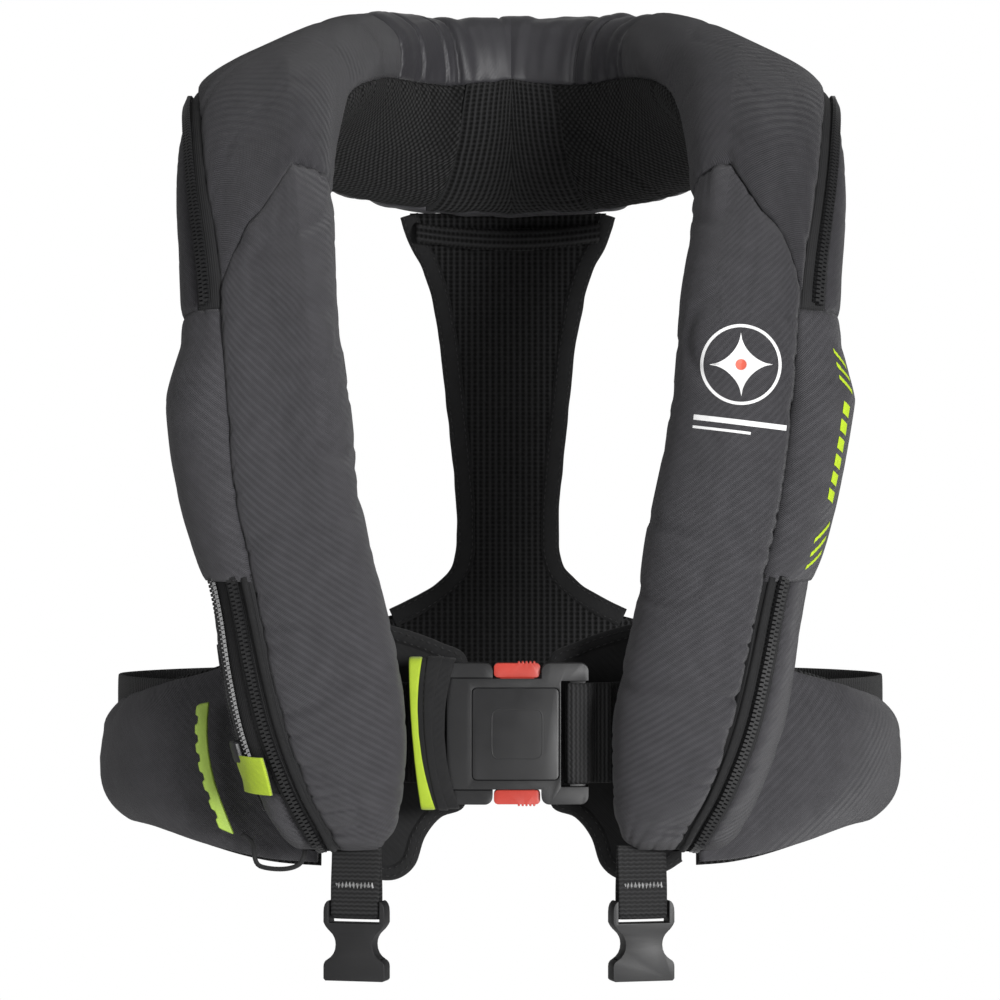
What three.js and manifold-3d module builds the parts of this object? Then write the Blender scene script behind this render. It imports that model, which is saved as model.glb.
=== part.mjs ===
// Inflatable life jacket, packed, as it hangs on a wearer.
//
// Origin: middle of the neck opening, level with the seam between the collar and the back panel.
// +X is the wearer's left, +Y the wearer's back and +Z is up. The buckle faces -Y.
import * as THREE from 'three';
import Module from 'manifold-3d';
import { mergeVertices } from 'three/addons/utils/BufferGeometryUtils.js';

const wasm = await Module();
wasm.setup();

// ---- Driving dimensions: millimetres and degrees ----------------------------------------------

// Lobes: the two packed air chambers that lie on the chest.
const LOBE_LENGTH = 334; // neck seat down to the lobes' bottom hem
const LOBE_WIDTH = 78; // across one lobe at the collar bone
const LOBE_DEPTH = 58; // packed thickness
const NECK_GAP = 178; // between the two lobes' inner edges at the neck
const CHEST_Y = -158; // middle of a lobe's thickness on the chest
const SQUARENESS = 2.6; // 2 is an oval section, more is squarer

// Collar: where the two lobes meet behind the neck.
const COLLAR_HEIGHT = 110;
const COLLAR_DEPTH = 52;
const COLLAR_Y = 78; // middle of the collar's thickness behind the neck
const COLLAR_TOP = 104;

// Fabric.
const COVER_WALL = 2.4; // fabric and its foam
const SEAM_ANGLE = 1.2; // gap between neighbouring panels round a lobe
const SEAM_STEP = 0.02; // gap between neighbouring panels along a lobe, in stations
const ZIP_ANGLE = 26; // a zip's width round a lobe

// Back panel, waist and belt.
const BACK_TOP_HALF = 61.5; // half the back panel's width under the collar
const BACK_THICK = 7;
const WAIST_HALF = 200; // middle of the belt at the hip
const WAIST_BACK_Y = 106; // middle of the belt behind the waist
const BELT_ABOVE_HEM = 58; // the belt's middle line above the lobes' hem
const BELT_WIDTH = 50;
const BELT_THICK = 1.8;
const WING_THICK = 8; // padded hip wing
const LINING_THICK = 3;
const LAYER_GAP = 1.5;
const FLAP_THICK = 5;

// Main buckle.
const BUCKLE_HEIGHT = 70;
const BUCKLE_DEPTH = 16;
const BUCKLE_HALF = 40; // middle of the buckle to the outer end of each frame
const BUCKLE_STANDOFF = 25; // the buckle's middle in front of the belt at the chest
const PLATE_THICK = 2.4;
const BUTTON_WIDTH = 23;
const BUTTON_HEAD = 8;

// Crotch-strap ends: webbing tabs with the socket halves of two side-release buckles.
const TAB_WIDTH = 25;
const TAB_THICK = 1.5;
const TAB_DROP = 30; // hem down to the middle of the socket's bar
const SOCKET_WIDTH = 31.5;
const SOCKET_LENGTH = 40;
const SOCKET_DEPTH = 10;
const SOCKET_TURN = 15; // how far each socket hangs turned, to face away from the middle
const TAB_X = { left: 66, right: 75 };

// Gas cylinder and inflator, in the wearer's right lobe.
const CYLINDER_RADIUS = 10.5;
const CYLINDER_LENGTH = 118;
const INFLATOR_WIDTH = 25;
const INFLATOR_LENGTH = 32;
const TUBE_RADIUS = 6.5; // oral tube, in the wearer's left lobe
const GAP = 0.4; // between touching rigid pieces

// Opening of the two halves: upright axes behind the shoulder blades.
const HINGE_X = 64;
const CENTRE_STATION = 13.6; // where the side of the collar meets its middle

// ---- Derived places -----------------------------------------------------------------------------

const HEM_Z = -LOBE_LENGTH;
const BELT_Z = HEM_Z + BELT_ABOVE_HEM;
const LOBE_BACK_Y = CHEST_Y + LOBE_DEPTH / 2;
const BELT_FRONT_Y = LOBE_BACK_Y + WING_THICK + 2 * LAYER_GAP + 2.6;
const BUCKLE_Y = BELT_FRONT_Y - BUCKLE_STANDOFF;
const HINGE_Y = WAIST_BACK_Y + 19;
const CURVE_RADIUS = HINGE_Y - BUCKLE_Y; // the buckle follows the arc on which it parts

// ---- Materials ------------------------------------------------------------------------------------

const finish = (color, roughness, metalness = 0) =>
  new THREE.MeshStandardMaterial({ color, roughness, metalness });
const COVER_FABRIC = finish(0x3e3e41, 0.85);
const SATIN_FABRIC = finish(0x47474a, 0.55);
const MESH_FABRIC = finish(0x1c1c1d, 0.95);
const BINDING_FABRIC = finish(0x1e1e1f, 0.9);
const ZIP_PLASTIC = finish(0x2b2b2c, 0.5);
const WEBBING = finish(0x1d1d1e, 0.8);
const BLACK_PLASTIC = finish(0x2a2a2b, 0.45);
const RED_PLASTIC = finish(0xc43a2e, 0.4);
const LIME_FABRIC = finish(0xa3c22a, 0.8);
const LIME_RUBBER = finish(0x9cbf33, 0.55);
const BLADDER_FILM = finish(0xd8c21e, 0.5);
const STEEL = finish(0xb5b8bb, 0.3, 1);
const WHITE_PLASTIC = finish(0xe4e4e0, 0.4);
const ORANGE_PLASTIC = finish(0xe07a1c, 0.4);

// ---- Small helpers ----------------------------------------------------------------------------------

const jacket = new THREE.Group();
const SIDES = { left: 1, right: -1 };

function add(name, geometry, material) {
  const mesh = new THREE.Mesh(geometry, material);
  mesh.name = name;
  jacket.add(mesh);
  return mesh;
}

// A closed mesh from points and triangles, turned so that its faces point out.
function closed(points, triangles) {
  let volume = 0;
  for (const [a, b, c] of triangles) {
    volume += points[a].dot(new THREE.Vector3().crossVectors(points[b], points[c]));
  }
  const index = volume < 0 ? triangles.map(([a, b, c]) => [a, c, b]) : triangles;
  const geometry = new THREE.BufferGeometry().setFromPoints(points);
  geometry.setIndex(index.flat());
  geometry.computeVertexNormals();
  return geometry;
}

// Skins a row of closed rings that all have the same number of points.
function skin(rings, capStart, capEnd) {
  const size = rings[0].length;
  const triangles = [];
  for (let r = 0; r + 1 < rings.length; r += 1) {
    for (let i = 0; i < size; i += 1) {
      const a = r * size + i;
      const b = r * size + ((i + 1) % size);
      triangles.push([a, b, b + size], [a, b + size, a + size]);
    }
  }
  const last = (rings.length - 1) * size;
  triangles.push(...capStart.map(([a, b, c]) => [a, c, b]));
  triangles.push(...capEnd.map(([a, b, c]) => [a + last, b + last, c + last]));
  return closed(rings.flat(), triangles);
}

// A strip section: outer points followed by the inner points in reverse.
function stripSkin(rings) {
  const half = rings[0].length / 2;
  const cap = [];
  for (let i = 0; i + 1 < half; i += 1) {
    const far = 2 * half - 1 - i;
    cap.push([i, i + 1, far - 1], [i, far - 1, far]);
  }
  return skin(rings, cap, cap);
}

// A convex section, capped by a fan.
function ovalSkin(rings) {
  const cap = [];
  for (let i = 1; i + 1 < rings[0].length; i += 1) {
    cap.push([0, i, i + 1]);
  }
  return skin(rings, cap, cap);
}

function mirrored(points, side) {
  return points.map((p) => new THREE.Vector3(p.x * side, p.y, p.z));
}

const radians = THREE.MathUtils.degToRad;
const power = (value, exponent) => Math.sign(value) * Math.abs(value) ** exponent;
const lerp = THREE.MathUtils.lerp;
const clamp = THREE.MathUtils.clamp;

function toSolid(geometry) {
  const bare = geometry.clone();
  bare.deleteAttribute('normal');
  bare.deleteAttribute('uv');
  const merged = mergeVertices(bare, 1e-4);
  const mesh = new wasm.Mesh({
    numProp: 3,
    vertProperties: new Float32Array(merged.attributes.position.array),
    triVerts: new Uint32Array(merged.index.array),
  });
  return new wasm.Manifold(mesh);
}

function toGeometry(solid) {
  const mesh = solid.getMesh();
  const geometry = new THREE.BufferGeometry();
  geometry.setAttribute('position', new THREE.BufferAttribute(mesh.vertProperties, 3));
  geometry.setIndex(new THREE.BufferAttribute(mesh.triVerts, 1));
  geometry.computeVertexNormals();
  return geometry;
}

// The same piece for the other side of the body.
function flipped(geometry) {
  geometry.scale(-1, 1, 1);
  geometry.setIndex(Array.from(geometry.index.array).reverse());
  return geometry;
}

function block(x0, x1, y0, y1, z0, z1) {
  const box = new THREE.BoxGeometry(x1 - x0, y1 - y0, z1 - z0);
  box.translate((x0 + x1) / 2, (y0 + y1) / 2, (z0 + z1) / 2);
  return box;
}

function roundedRectangle(x0, x1, y0, y1, radius) {
  const shape = new THREE.Shape();
  shape.absarc(x1 - radius, y1 - radius, radius, 0, Math.PI / 2);
  shape.absarc(x0 + radius, y1 - radius, radius, Math.PI / 2, Math.PI);
  shape.absarc(x0 + radius, y0 + radius, radius, Math.PI, 1.5 * Math.PI);
  shape.absarc(x1 - radius, y0 + radius, radius, 1.5 * Math.PI, 2 * Math.PI);
  return shape;
}

const plain = (depth, curveSegments = 4) => ({ depth, bevelEnabled: false, curveSegments });

// An outline drawn in X and Z, from y0 back to y1.
function plateY(shape, y0, y1, segments) {
  const geometry = new THREE.ExtrudeGeometry(shape, plain(y1 - y0, segments));
  geometry.rotateX(Math.PI / 2);
  geometry.translate(0, y1, 0);
  return geometry;
}

// An outline drawn in X and Y, from z0 up to z1.
function plateZ(shape, z0, z1, segments) {
  const geometry = new THREE.ExtrudeGeometry(shape, plain(z1 - z0, segments));
  geometry.translate(0, 0, z0);
  return geometry;
}

// An outline drawn in Y and Z, from x0 to x1.
function plateX(shape, x0, x1, segments) {
  const geometry = new THREE.ExtrudeGeometry(shape, plain(x1 - x0, segments));
  geometry.applyMatrix4(new THREE.Matrix4().makeBasis(
    new THREE.Vector3(0, 1, 0), new THREE.Vector3(0, 0, 1), new THREE.Vector3(1, 0, 0)));
  geometry.translate(x0, 0, 0);
  return geometry;
}

// A turned piece whose axis runs from one point to another.
function turned(profile, from, to, segments = 16) {
  const geometry = new THREE.LatheGeometry(profile.map(([r, h]) => new THREE.Vector2(r, h)), segments);
  const turn = new THREE.Quaternion().setFromUnitVectors(
    new THREE.Vector3(0, 1, 0), new THREE.Vector3().subVectors(to, from).normalize());
  geometry.applyQuaternion(turn);
  geometry.translate(from.x, from.y, from.z);
  return toGeometry(toSolid(geometry));
}

// A tube of constant section along points.
function cordAlong(points, radius, steps, sides = 8) {
  const section = new THREE.Shape();
  section.absarc(0, 0, radius, 0, 2 * Math.PI);
  const path = new THREE.CatmullRomCurve3(points);
  const geometry = new THREE.ExtrudeGeometry(section, {
    steps, extrudePath: path, curveSegments: sides, bevelEnabled: false,
  });
  return toGeometry(toSolid(geometry));
}

// ---- The air chamber's path: up one lobe, over the shoulder, round to the nape ----------------------

// Down: share of the lobe's length. Inner: inner edge as a share of half the neck gap. Width and depth:
// shares of the lobe's own. Back: how far behind CHEST_Y the middle lies. Seam: where round the section
// the front panel ends, from 0 at the outer edge through 90 at the front to 180 at the inner edge.
const LOBE_ROWS = [
  [0.997, 0.67, 0.62, 0.45, 8, 92],
  [0.952, 0.60, 0.83, 0.69, 6, 87],
  [0.898, 0.58, 0.954, 0.86, 4, 80],
  [0.823, 0.573, 1.077, 0.96, 2, 75],
  [0.734, 0.607, 1.115, 1.0, 0, 71],
  [0.626, 0.697, 1.077, 1.03, -1, 68],
  [0.48, 0.81, 1.09, 1.03, -2, 69],
  [0.33, 0.90, 1.05, 1.0, -1, 70],
  [0.183, 0.955, 1.0, 0.98, 4, 67],
  [0.042, 1.0, 1.0, 0.97, 25, 58],
];

// Across: share of half the neck gap. Forward: share of the way from the nape to the chest. Up: share
// of the collar's top. Heading and tilt: which way the section's outer edge points, 0 being sideways
// and a tilt of 90 straight down. Width and depth: shares of the collar's own. Seam: as above.
// Lining: where the neck lining starts round the section.
const COLLAR_ROWS = [
  [1.427, 0.771, 0.23, 0, 10, 0.727, 1.1, 50, 200],
  [1.36, 0.593, 0.44, 0, 21, 0.764, 1.08, 34, 196],
  [1.19, 0.39, 0.52, 22, 39, 0.836, 1.08, -10, 225],
  [0.9, 0.186, 0.5, 42, 63, 0.927, 1.04, -14, 246],
  [0.505, 0.042, 0.471, 62, 81, 0.98, 1.0, -14, 255],
  [0, 0, 0.471, 90, 90, 1.0, 1.0, -14, 256],
];

const STATIONS = [
  ...LOBE_ROWS.map(([down, inner, width, depth, back, seam]) => ({
    x: (NECK_GAP / 2) * inner + (LOBE_WIDTH * width) / 2,
    y: CHEST_Y + back,
    z: -LOBE_LENGTH * down,
    heading: 0,
    tilt: 0,
    half: (LOBE_WIDTH * width) / 2,
    deep: (LOBE_DEPTH * depth) / 2,
    seam,
    lining: 200,
  })),
  ...COLLAR_ROWS.map(([across, forward, up, heading, tilt, width, depth, seam, lining]) => ({
    x: (NECK_GAP / 2) * across,
    y: lerp(COLLAR_Y, CHEST_Y, forward),
    z: COLLAR_TOP * up,
    heading,
    tilt,
    half: (COLLAR_HEIGHT * width) / 2,
    deep: (COLLAR_DEPTH * depth) / 2,
    seam,
    lining,
  })),
];
const TOP_STATION = STATIONS.length - 1;
const SHOULDER_SEAM = 8.6; // station of the seam across the collar bone
const LINING_START = 9.5;
const ZIP_TOP = 11.4;
const PANEL_TOP = 7.8;
const PANEL_BOTTOM = 5.3;

// Smooth value of one column between the rows.
function between(key, t) {
  const i = clamp(Math.floor(t), 0, TOP_STATION - 1);
  const f = t - i;
  const at = (k) => STATIONS[clamp(k, 0, TOP_STATION)][key];
  const [p, a, b, n] = [at(i - 1), at(i), at(i + 1), at(i + 2)];
  const rise = (b - p) / 2;
  const next = (n - a) / 2;
  return a + f * (rise + f * (3 * (b - a) - 2 * rise - next + f * (2 * (a - b) + rise + next)));
}

const centreAt = (t) => new THREE.Vector3(between('x', t), between('y', t), between('z', t));

// The section's frame at a station: its centre, outward edge direction and outer-face direction.
function frameAt(t) {
  const centre = centreAt(t);
  const step = 0.05;
  const along = centreAt(Math.min(t + step, TOP_STATION)).sub(centreAt(Math.max(t - step, 0)));
  const heading = radians(between('heading', t));
  const tilt = radians(between('tilt', t));
  const edge = new THREE.Vector3(
    Math.cos(heading) * Math.cos(tilt), Math.sin(heading) * Math.cos(tilt), -Math.sin(tilt));
  const face = new THREE.Vector3().crossVectors(edge, along).normalize();
  return { centre, edge, face, half: between('half', t), deep: between('deep', t) };
}

function sectionPoint(frame, angle, inset, shift = 0, thin = 0) {
  const c = Math.cos(radians(angle));
  const s = Math.sin(radians(angle));
  const across = (frame.half - inset) * power(c, 2 / SQUARENESS);
  const out = (frame.deep - inset - thin) * power(s, 2 / SQUARENESS) + shift;
  return frame.centre.clone().addScaledVector(frame.edge, across).addScaledVector(frame.face, out);
}

// The stations that panels are built on, closer over the shoulder, and where a panel starts or ends,
// so that neighbouring panels share their facets.
const BEND_START = 8;
const PANEL_ENDS = [
  PANEL_BOTTOM, PANEL_TOP, SHOULDER_SEAM - SEAM_STEP, LINING_START, ZIP_TOP, CENTRE_STATION - SEAM_STEP,
].flatMap((t) => [t, t + SEAM_STEP]);
const halfStations = Array.from({ length: 2 * TOP_STATION + 1 }, (_, i) => i / 2)
  .filter((t) => t > BEND_START || Number.isInteger(t))
  .filter((t) => PANEL_ENDS.every((end) => Math.abs(t - end) > 0.15));
const PANEL_STATIONS = [...PANEL_ENDS, ...halfStations].sort((a, b) => a - b);

function samples(from, to) {
  const slack = SEAM_STEP / 4;
  const inside = PANEL_STATIONS.filter((t) => t > from + slack && t < to - slack);
  return [from, ...inside, to];
}

const PANEL_STEP = 18; // degrees between the points of a panel's section
const value = (angle, t) => (typeof angle === 'function' ? angle(t) : angle);

// A fabric panel that wraps part of the air chamber.
function wrap({ side, t0, t1, from, to, wall = COVER_WALL, proud = 0, bothSides = false }) {
  const span = value(to, (t0 + t1) / 2) - value(from, (t0 + t1) / 2);
  const count = Math.max(3, Math.round(span / PANEL_STEP) + 1);
  const ring = (t, hand) => {
    const frame = frameAt(t);
    const angles = Array.from({ length: count }, (_, i) =>
      lerp(value(from, t), value(to, t), i / (count - 1)));
    const outer = angles.map((angle) => sectionPoint(frame, angle, -value(proud, t)));
    const inner = angles.map((angle) => sectionPoint(frame, angle, wall));
    return mirrored([...outer, ...inner.reverse()], hand);
  };
  if (!bothSides) {
    return stripSkin(samples(t0, t1).map((t) => ring(t, side)));
  }
  const half = samples(t0, TOP_STATION);
  const back = half.slice(0, -1).reverse();
  return stripSkin([...half.map((t) => ring(t, 1)), ...back.map((t) => ring(t, -1))]);
}

// ---- Air chamber, in the front of each lobe with its hardware behind it -------------------------------

const POCKET_DEPTH = 2 * CYLINDER_RADIUS + 2; // room behind the folded chamber
const CHAMBER_INSET = COVER_WALL + 4.2;
const CHAMBER_SIDES = 14;
const POCKET_TAPER = 0.4; // how much narrower the chamber is in front of its pocket

function chamberRing(t, hand) {
  const frame = frameAt(t);
  const pocket = POCKET_DEPTH * (1 - clamp((t - 6.6) / 1.4, 0, 1));
  frame.half -= pocket * POCKET_TAPER;
  const points = Array.from({ length: CHAMBER_SIDES }, (_, i) =>
    sectionPoint(frame, (i * 360) / CHAMBER_SIDES + 5, CHAMBER_INSET, pocket / 2, pocket / 2));
  return mirrored(points, hand);
}

function chamber(side) {
  return ovalSkin(samples(1.6, CENTRE_STATION - SEAM_STEP).map((t) => chamberRing(t, side)));
}

function chamberMiddle() {
  const half = samples(CENTRE_STATION + SEAM_STEP, TOP_STATION);
  const back = half.slice(0, -1).reverse();
  return ovalSkin([
    ...half.map((t) => chamberRing(t, 1)), ...back.map((t) => chamberRing(t, -1))]);
}

// ---- Lobe and collar panels ------------------------------------------------------------------------------

const seamAt = (t) => between('seam', t);
const liningAt = (t) => between('lining', t);
const underAt = (t) => lerp(-61, -14, clamp((t - 10.5) / 1.5, 0, 1));
const BACKING_FROM = 201;
const ACCESS_ZIP_FROM = 15;
const ACCESS_ZIP_TO = 28;
const PANEL_PROUD = 7; // how far the side panel stands out at its middle

function panelProud(t) {
  const middle = (PANEL_TOP + PANEL_BOTTOM) / 2;
  const reach = (PANEL_TOP - PANEL_BOTTOM) / 2;
  return PANEL_PROUD * (1 - clamp(Math.abs(t - middle) / reach, 0, 1) ** 3);
}

for (const [name, side] of Object.entries(SIDES)) {
  const zipOuter = (t) => seamAt(t) - ZIP_ANGLE;
  const belowZip = (t) => zipOuter(t) - SEAM_ANGLE;
  const underEdge = (t) => underAt(t) + SEAM_ANGLE;
  const beforeSeam = (t) => seamAt(t) - SEAM_ANGLE;

  add(`${name}_front_cover`, wrap({
    side, t0: 0, t1: SHOULDER_SEAM - SEAM_STEP, from: seamAt, to: BACKING_FROM - SEAM_ANGLE,
  }), COVER_FABRIC);
  add(`${name}_shoulder_cover`, wrap({
    side, t0: SHOULDER_SEAM, t1: CENTRE_STATION - SEAM_STEP, from: seamAt,
    to: (t) => liningAt(t) - SEAM_ANGLE,
  }), COVER_FABRIC);
  add(`${name}_collar_lining`, wrap({
    side, t0: LINING_START + SEAM_STEP, t1: CENTRE_STATION - SEAM_STEP, from: liningAt,
    to: (t) => underAt(t) + 360 - SEAM_ANGLE,
  }), MESH_FABRIC);
  add(`${name}_backing`, wrap({
    side, t0: 0, t1: LINING_START, from: BACKING_FROM, to: 299 - SEAM_ANGLE,
  }), BINDING_FABRIC);
  add(`${name}_upper_zip`, wrap({
    side, t0: PANEL_TOP + SEAM_STEP, t1: ZIP_TOP, from: zipOuter, to: beforeSeam,
  }), ZIP_PLASTIC);
  add(`${name}_upper_side_cover`, wrap({
    side, t0: PANEL_TOP + SEAM_STEP, t1: ZIP_TOP, from: underEdge, to: belowZip,
  }), COVER_FABRIC);
  add(`${name}_side_panel`, wrap({
    side, t0: PANEL_BOTTOM + SEAM_STEP, t1: PANEL_TOP, from: -61 + SEAM_ANGLE, to: beforeSeam,
    proud: panelProud,
  }), COVER_FABRIC);
  add(`${name}_lower_zip`, wrap({
    side, t0: 0, t1: PANEL_BOTTOM, from: zipOuter, to: beforeSeam,
  }), ZIP_PLASTIC);
  add(`${name}_chamber`, chamber(side), BLADDER_FILM);
}

// The right lobe's lower side opens with its own zip, to reach the inflator.
add('left_lower_side_cover', wrap({
  side: SIDES.left, t0: 0, t1: PANEL_BOTTOM, from: -61 + SEAM_ANGLE,
  to: (t) => seamAt(t) - ZIP_ANGLE - SEAM_ANGLE,
}), COVER_FABRIC);
add('right_lower_side_cover', wrap({
  side: SIDES.right, t0: 0, t1: PANEL_BOTTOM, from: -61 + SEAM_ANGLE,
  to: ACCESS_ZIP_FROM - SEAM_ANGLE,
}), COVER_FABRIC);
add('access_zip', wrap({
  side: SIDES.right, t0: 0, t1: PANEL_BOTTOM, from: ACCESS_ZIP_FROM,
  to: (t) => seamAt(t) - ZIP_ANGLE - SEAM_ANGLE,
}), ZIP_PLASTIC);

const middle = { t0: CENTRE_STATION + SEAM_STEP, t1: TOP_STATION, bothSides: true };
add('collar_cover_middle', wrap({
  ...middle, from: seamAt, to: (t) => liningAt(t) - SEAM_ANGLE,
}), SATIN_FABRIC);
add('collar_lining_middle', wrap({
  ...middle, from: liningAt, to: 346 - SEAM_ANGLE,
}), MESH_FABRIC);
add('chamber_middle', chamberMiddle(), BLADDER_FILM);

// ---- Back panel ---------------------------------------------------------------------------------------------

const BACK_TOP_Z = COLLAR_TOP * 0.471 - COLLAR_HEIGHT / 2 - 2;
const WAIST_TOP_RISE = 60; // the waist pad's top above the belt's middle, behind
const BACK_BOTTOM_Z = BELT_Z + WAIST_TOP_RISE + 1;

// Share of the way down, and half the width as a share of the top's.
const BACK_ROWS = [
  [0, 1.0], [0.05, 0.88], [0.1, 0.79], [0.18, 0.69], [0.33, 0.6], [0.47, 0.55], [0.6, 0.505],
  [0.75, 0.46], [0.87, 0.46], [0.93, 0.52], [0.97, 0.68], [1, 0.92],
];

const backY = (share) => COLLAR_Y + 8 + 14 * Math.sin(share ** 0.6 * Math.PI * 0.5);

function backRing(share, x0, x1, thick) {
  const z = lerp(BACK_TOP_Z, BACK_BOTTOM_Z, share);
  const y = backY(share);
  const soft = Math.min(1.5, thick / 3);
  const corner = (x, dx, dy) => new THREE.Vector3(x + dx * soft, y + (dy * thick) / 2, z);
  const cut = (x, dx, dy) => new THREE.Vector3(x, y + dy * (thick / 2 - soft), z);
  return [
    corner(x0, 1, -1), corner(x1, -1, -1), cut(x1, 0, -1), cut(x1, 0, 1),
    corner(x1, -1, 1), corner(x0, 1, 1), cut(x0, 0, 1), cut(x0, 0, -1),
  ];
}

const halfBack = (width) => BACK_TOP_HALF * width;
add('back_panel', ovalSkin(BACK_ROWS.map(([share, width]) =>
  backRing(share, -halfBack(width), halfBack(width), BACK_THICK))), MESH_FABRIC);

// ---- Waist: outer pad or wing, belt webbing and inner lining ---------------------------------------------------

// The belt's line seen from above, from the spine to the chest: across, as a share of WAIST_HALF;
// forward, as a share of the way from behind to the chest; the padding's top and bottom from BELT_Z.
const WAIST_ROWS = [
  [0, 0, 60, -28], [0.32, 0.01, 57, -30], [0.6, 0.072, 38, -36], [0.86, 0.24, 19, -44],
  [1.0, 0.466, 18, -50], [0.985, 0.677, 19, -50], [0.89, 0.843, 22, -51], [0.75, 0.933, 29, -58],
  [0.6, 0.978, 40, -64], [0.45, 1.0, 46, -66],
];
const WAIST_LINE = new THREE.CatmullRomCurve3(WAIST_ROWS.map(([across, forward]) =>
  new THREE.Vector3(WAIST_HALF * across, lerp(WAIST_BACK_Y, BELT_FRONT_Y, forward), 0)));

function waistHeights(u) {
  const place = u * (WAIST_ROWS.length - 1);
  const i = Math.min(Math.floor(place), WAIST_ROWS.length - 2);
  const f = place - i;
  return [2, 3].map((column) => BELT_Z + lerp(WAIST_ROWS[i][column], WAIST_ROWS[i + 1][column], f));
}

// Where the belt's line crosses a given X, behind the widest point or in front of it.
function waistAtX(x, inFront) {
  let [near, far] = inFront ? [1, 0.45] : [0, 0.4];
  for (let i = 0; i < 40; i += 1) {
    const mid = (near + far) / 2;
    if (WAIST_LINE.getPoint(mid).x < x) {
      near = mid;
    } else {
      far = mid;
    }
  }
  return (near + far) / 2;
}

const WAIST_RING = 8;

// One upright oval section of a waist layer. offset is outwards from the belt's line.
function waistRing(u, offset, thick, top, bottom, side) {
  const at = WAIST_LINE.getPoint(u);
  const along = WAIST_LINE.getTangent(u);
  const out = new THREE.Vector3(-along.y, along.x, 0).negate();
  if (out.dot(new THREE.Vector3(at.x, at.y, 0)) < 0) {
    out.negate();
  }
  const points = Array.from({ length: WAIST_RING }, (_, i) => {
    const angle = (i * 2 * Math.PI) / WAIST_RING;
    const across = offset + (thick / 2) * power(Math.cos(angle), 0.5);
    const z = (top + bottom) / 2 + ((top - bottom) / 2) * power(Math.sin(angle), 0.5);
    return new THREE.Vector3(at.x + out.x * across, at.y + out.y * across, z);
  });
  return mirrored(points, side);
}

function waistLayer({ side, u0, u1, steps, offset, thick, grow = 0, belt = false }) {
  const ring = (u, hand) => {
    const [top, bottom] = belt
      ? [BELT_Z + BELT_WIDTH / 2, BELT_Z - BELT_WIDTH / 2]
      : waistHeights(u);
    return waistRing(u, offset, thick, top + grow, bottom - grow, hand);
  };
  const places = Array.from({ length: steps + 1 }, (_, i) => lerp(u0, u1, i / steps));
  if (side) {
    return ovalSkin(places.map((u) => ring(u, side)));
  }
  const back = places.slice(1).reverse();
  return ovalSkin([...back.map((u) => ring(u, 1)), ...places.map((u) => ring(u, -1))]);
}

const SPINE_HALF = HINGE_X - 2; // the fixed middle of the waist reaches this far each way
const WING_START_X = HINGE_X + 1.5;
const WING_END_X = 94;
const FLAP_END_X = 88;
const WING_OFFSET = BELT_THICK / 2 + LAYER_GAP + WING_THICK / 2;
const LINING_OFFSET = -(BELT_THICK / 2 + LAYER_GAP + LINING_THICK / 2);
const LINING_GROW = 3; // the lining shows past the wing's edges
const wingLayer = { offset: WING_OFFSET, thick: WING_THICK };
const liningLayer = { offset: LINING_OFFSET, thick: LINING_THICK };
const beltLayer = { offset: 0, thick: BELT_THICK, belt: true };

add('waist_pad', waistLayer({ ...wingLayer, u0: 0, u1: waistAtX(SPINE_HALF, false), steps: 3 }),
  COVER_FABRIC);
add('waist_belt', waistLayer({ ...beltLayer, u0: 0, u1: waistAtX(SPINE_HALF, false), steps: 3 }),
  WEBBING);
add('waist_lining', waistLayer({ ...liningLayer, u0: 0, u1: waistAtX(SPINE_HALF, false), steps: 3 }),
  MESH_FABRIC);

for (const [name, side] of Object.entries(SIDES)) {
  const u0 = waistAtX(WING_START_X, false);
  add(`${name}_hip_wing`, waistLayer({
    side, ...wingLayer, u0, u1: waistAtX(WING_END_X, true), steps: 15,
  }), COVER_FABRIC);
  add(`${name}_hip_lining`, waistLayer({
    side, ...liningLayer, u0, u1: waistAtX(FLAP_END_X + 5, true), steps: 15, grow: LINING_GROW,
  }), MESH_FABRIC);
}

// ---- Harness flap behind each lobe, with its rounded tongue ---------------------------------------------------

const FLAP_Y = BELT_FRONT_Y + BELT_THICK / 2 + LAYER_GAP;
const FLAP_INNER_X = 21;

function flapOutline() {
  const at = (x, rise) => [x, BELT_Z + rise];
  const shape = new THREE.Shape();
  shape.moveTo(...at(FLAP_END_X, 50));
  shape.quadraticCurveTo(...at(78, 60), ...at(66, 56));
  shape.quadraticCurveTo(...at(34, 48), ...at(FLAP_INNER_X, 36));
  shape.lineTo(...at(FLAP_INNER_X, -40));
  shape.quadraticCurveTo(...at(38, -42), ...at(44, -56));
  shape.quadraticCurveTo(...at(48, -76), ...at(64, -76));
  shape.quadraticCurveTo(...at(80, -75), ...at(FLAP_END_X, -66));
  shape.closePath();
  return shape;
}

for (const [name, side] of Object.entries(SIDES)) {
  const flap = plateY(flapOutline(), FLAP_Y, FLAP_Y + FLAP_THICK, 6);
  const piece = toGeometry(toSolid(flap));
  add(`${name}_harness_flap`, side > 0 ? piece : flipped(piece), BINDING_FABRIC);
}

// ---- Main buckle: a gentle arc about the line between the two opening axes ----------------------------------------

const FRONT = -BUCKLE_DEPTH / 2; // depths below are from the buckle's middle surface
const BACK = BUCKLE_DEPTH / 2;
const HALF_HEIGHT = BUCKLE_HEIGHT / 2;
const BAR_HALF_HEIGHT = BELT_WIDTH / 2 + 1.3;
const ARC_STEPS = 16;
const ARC_REACH = 14; // degrees each way, past the buckle's ends

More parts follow.
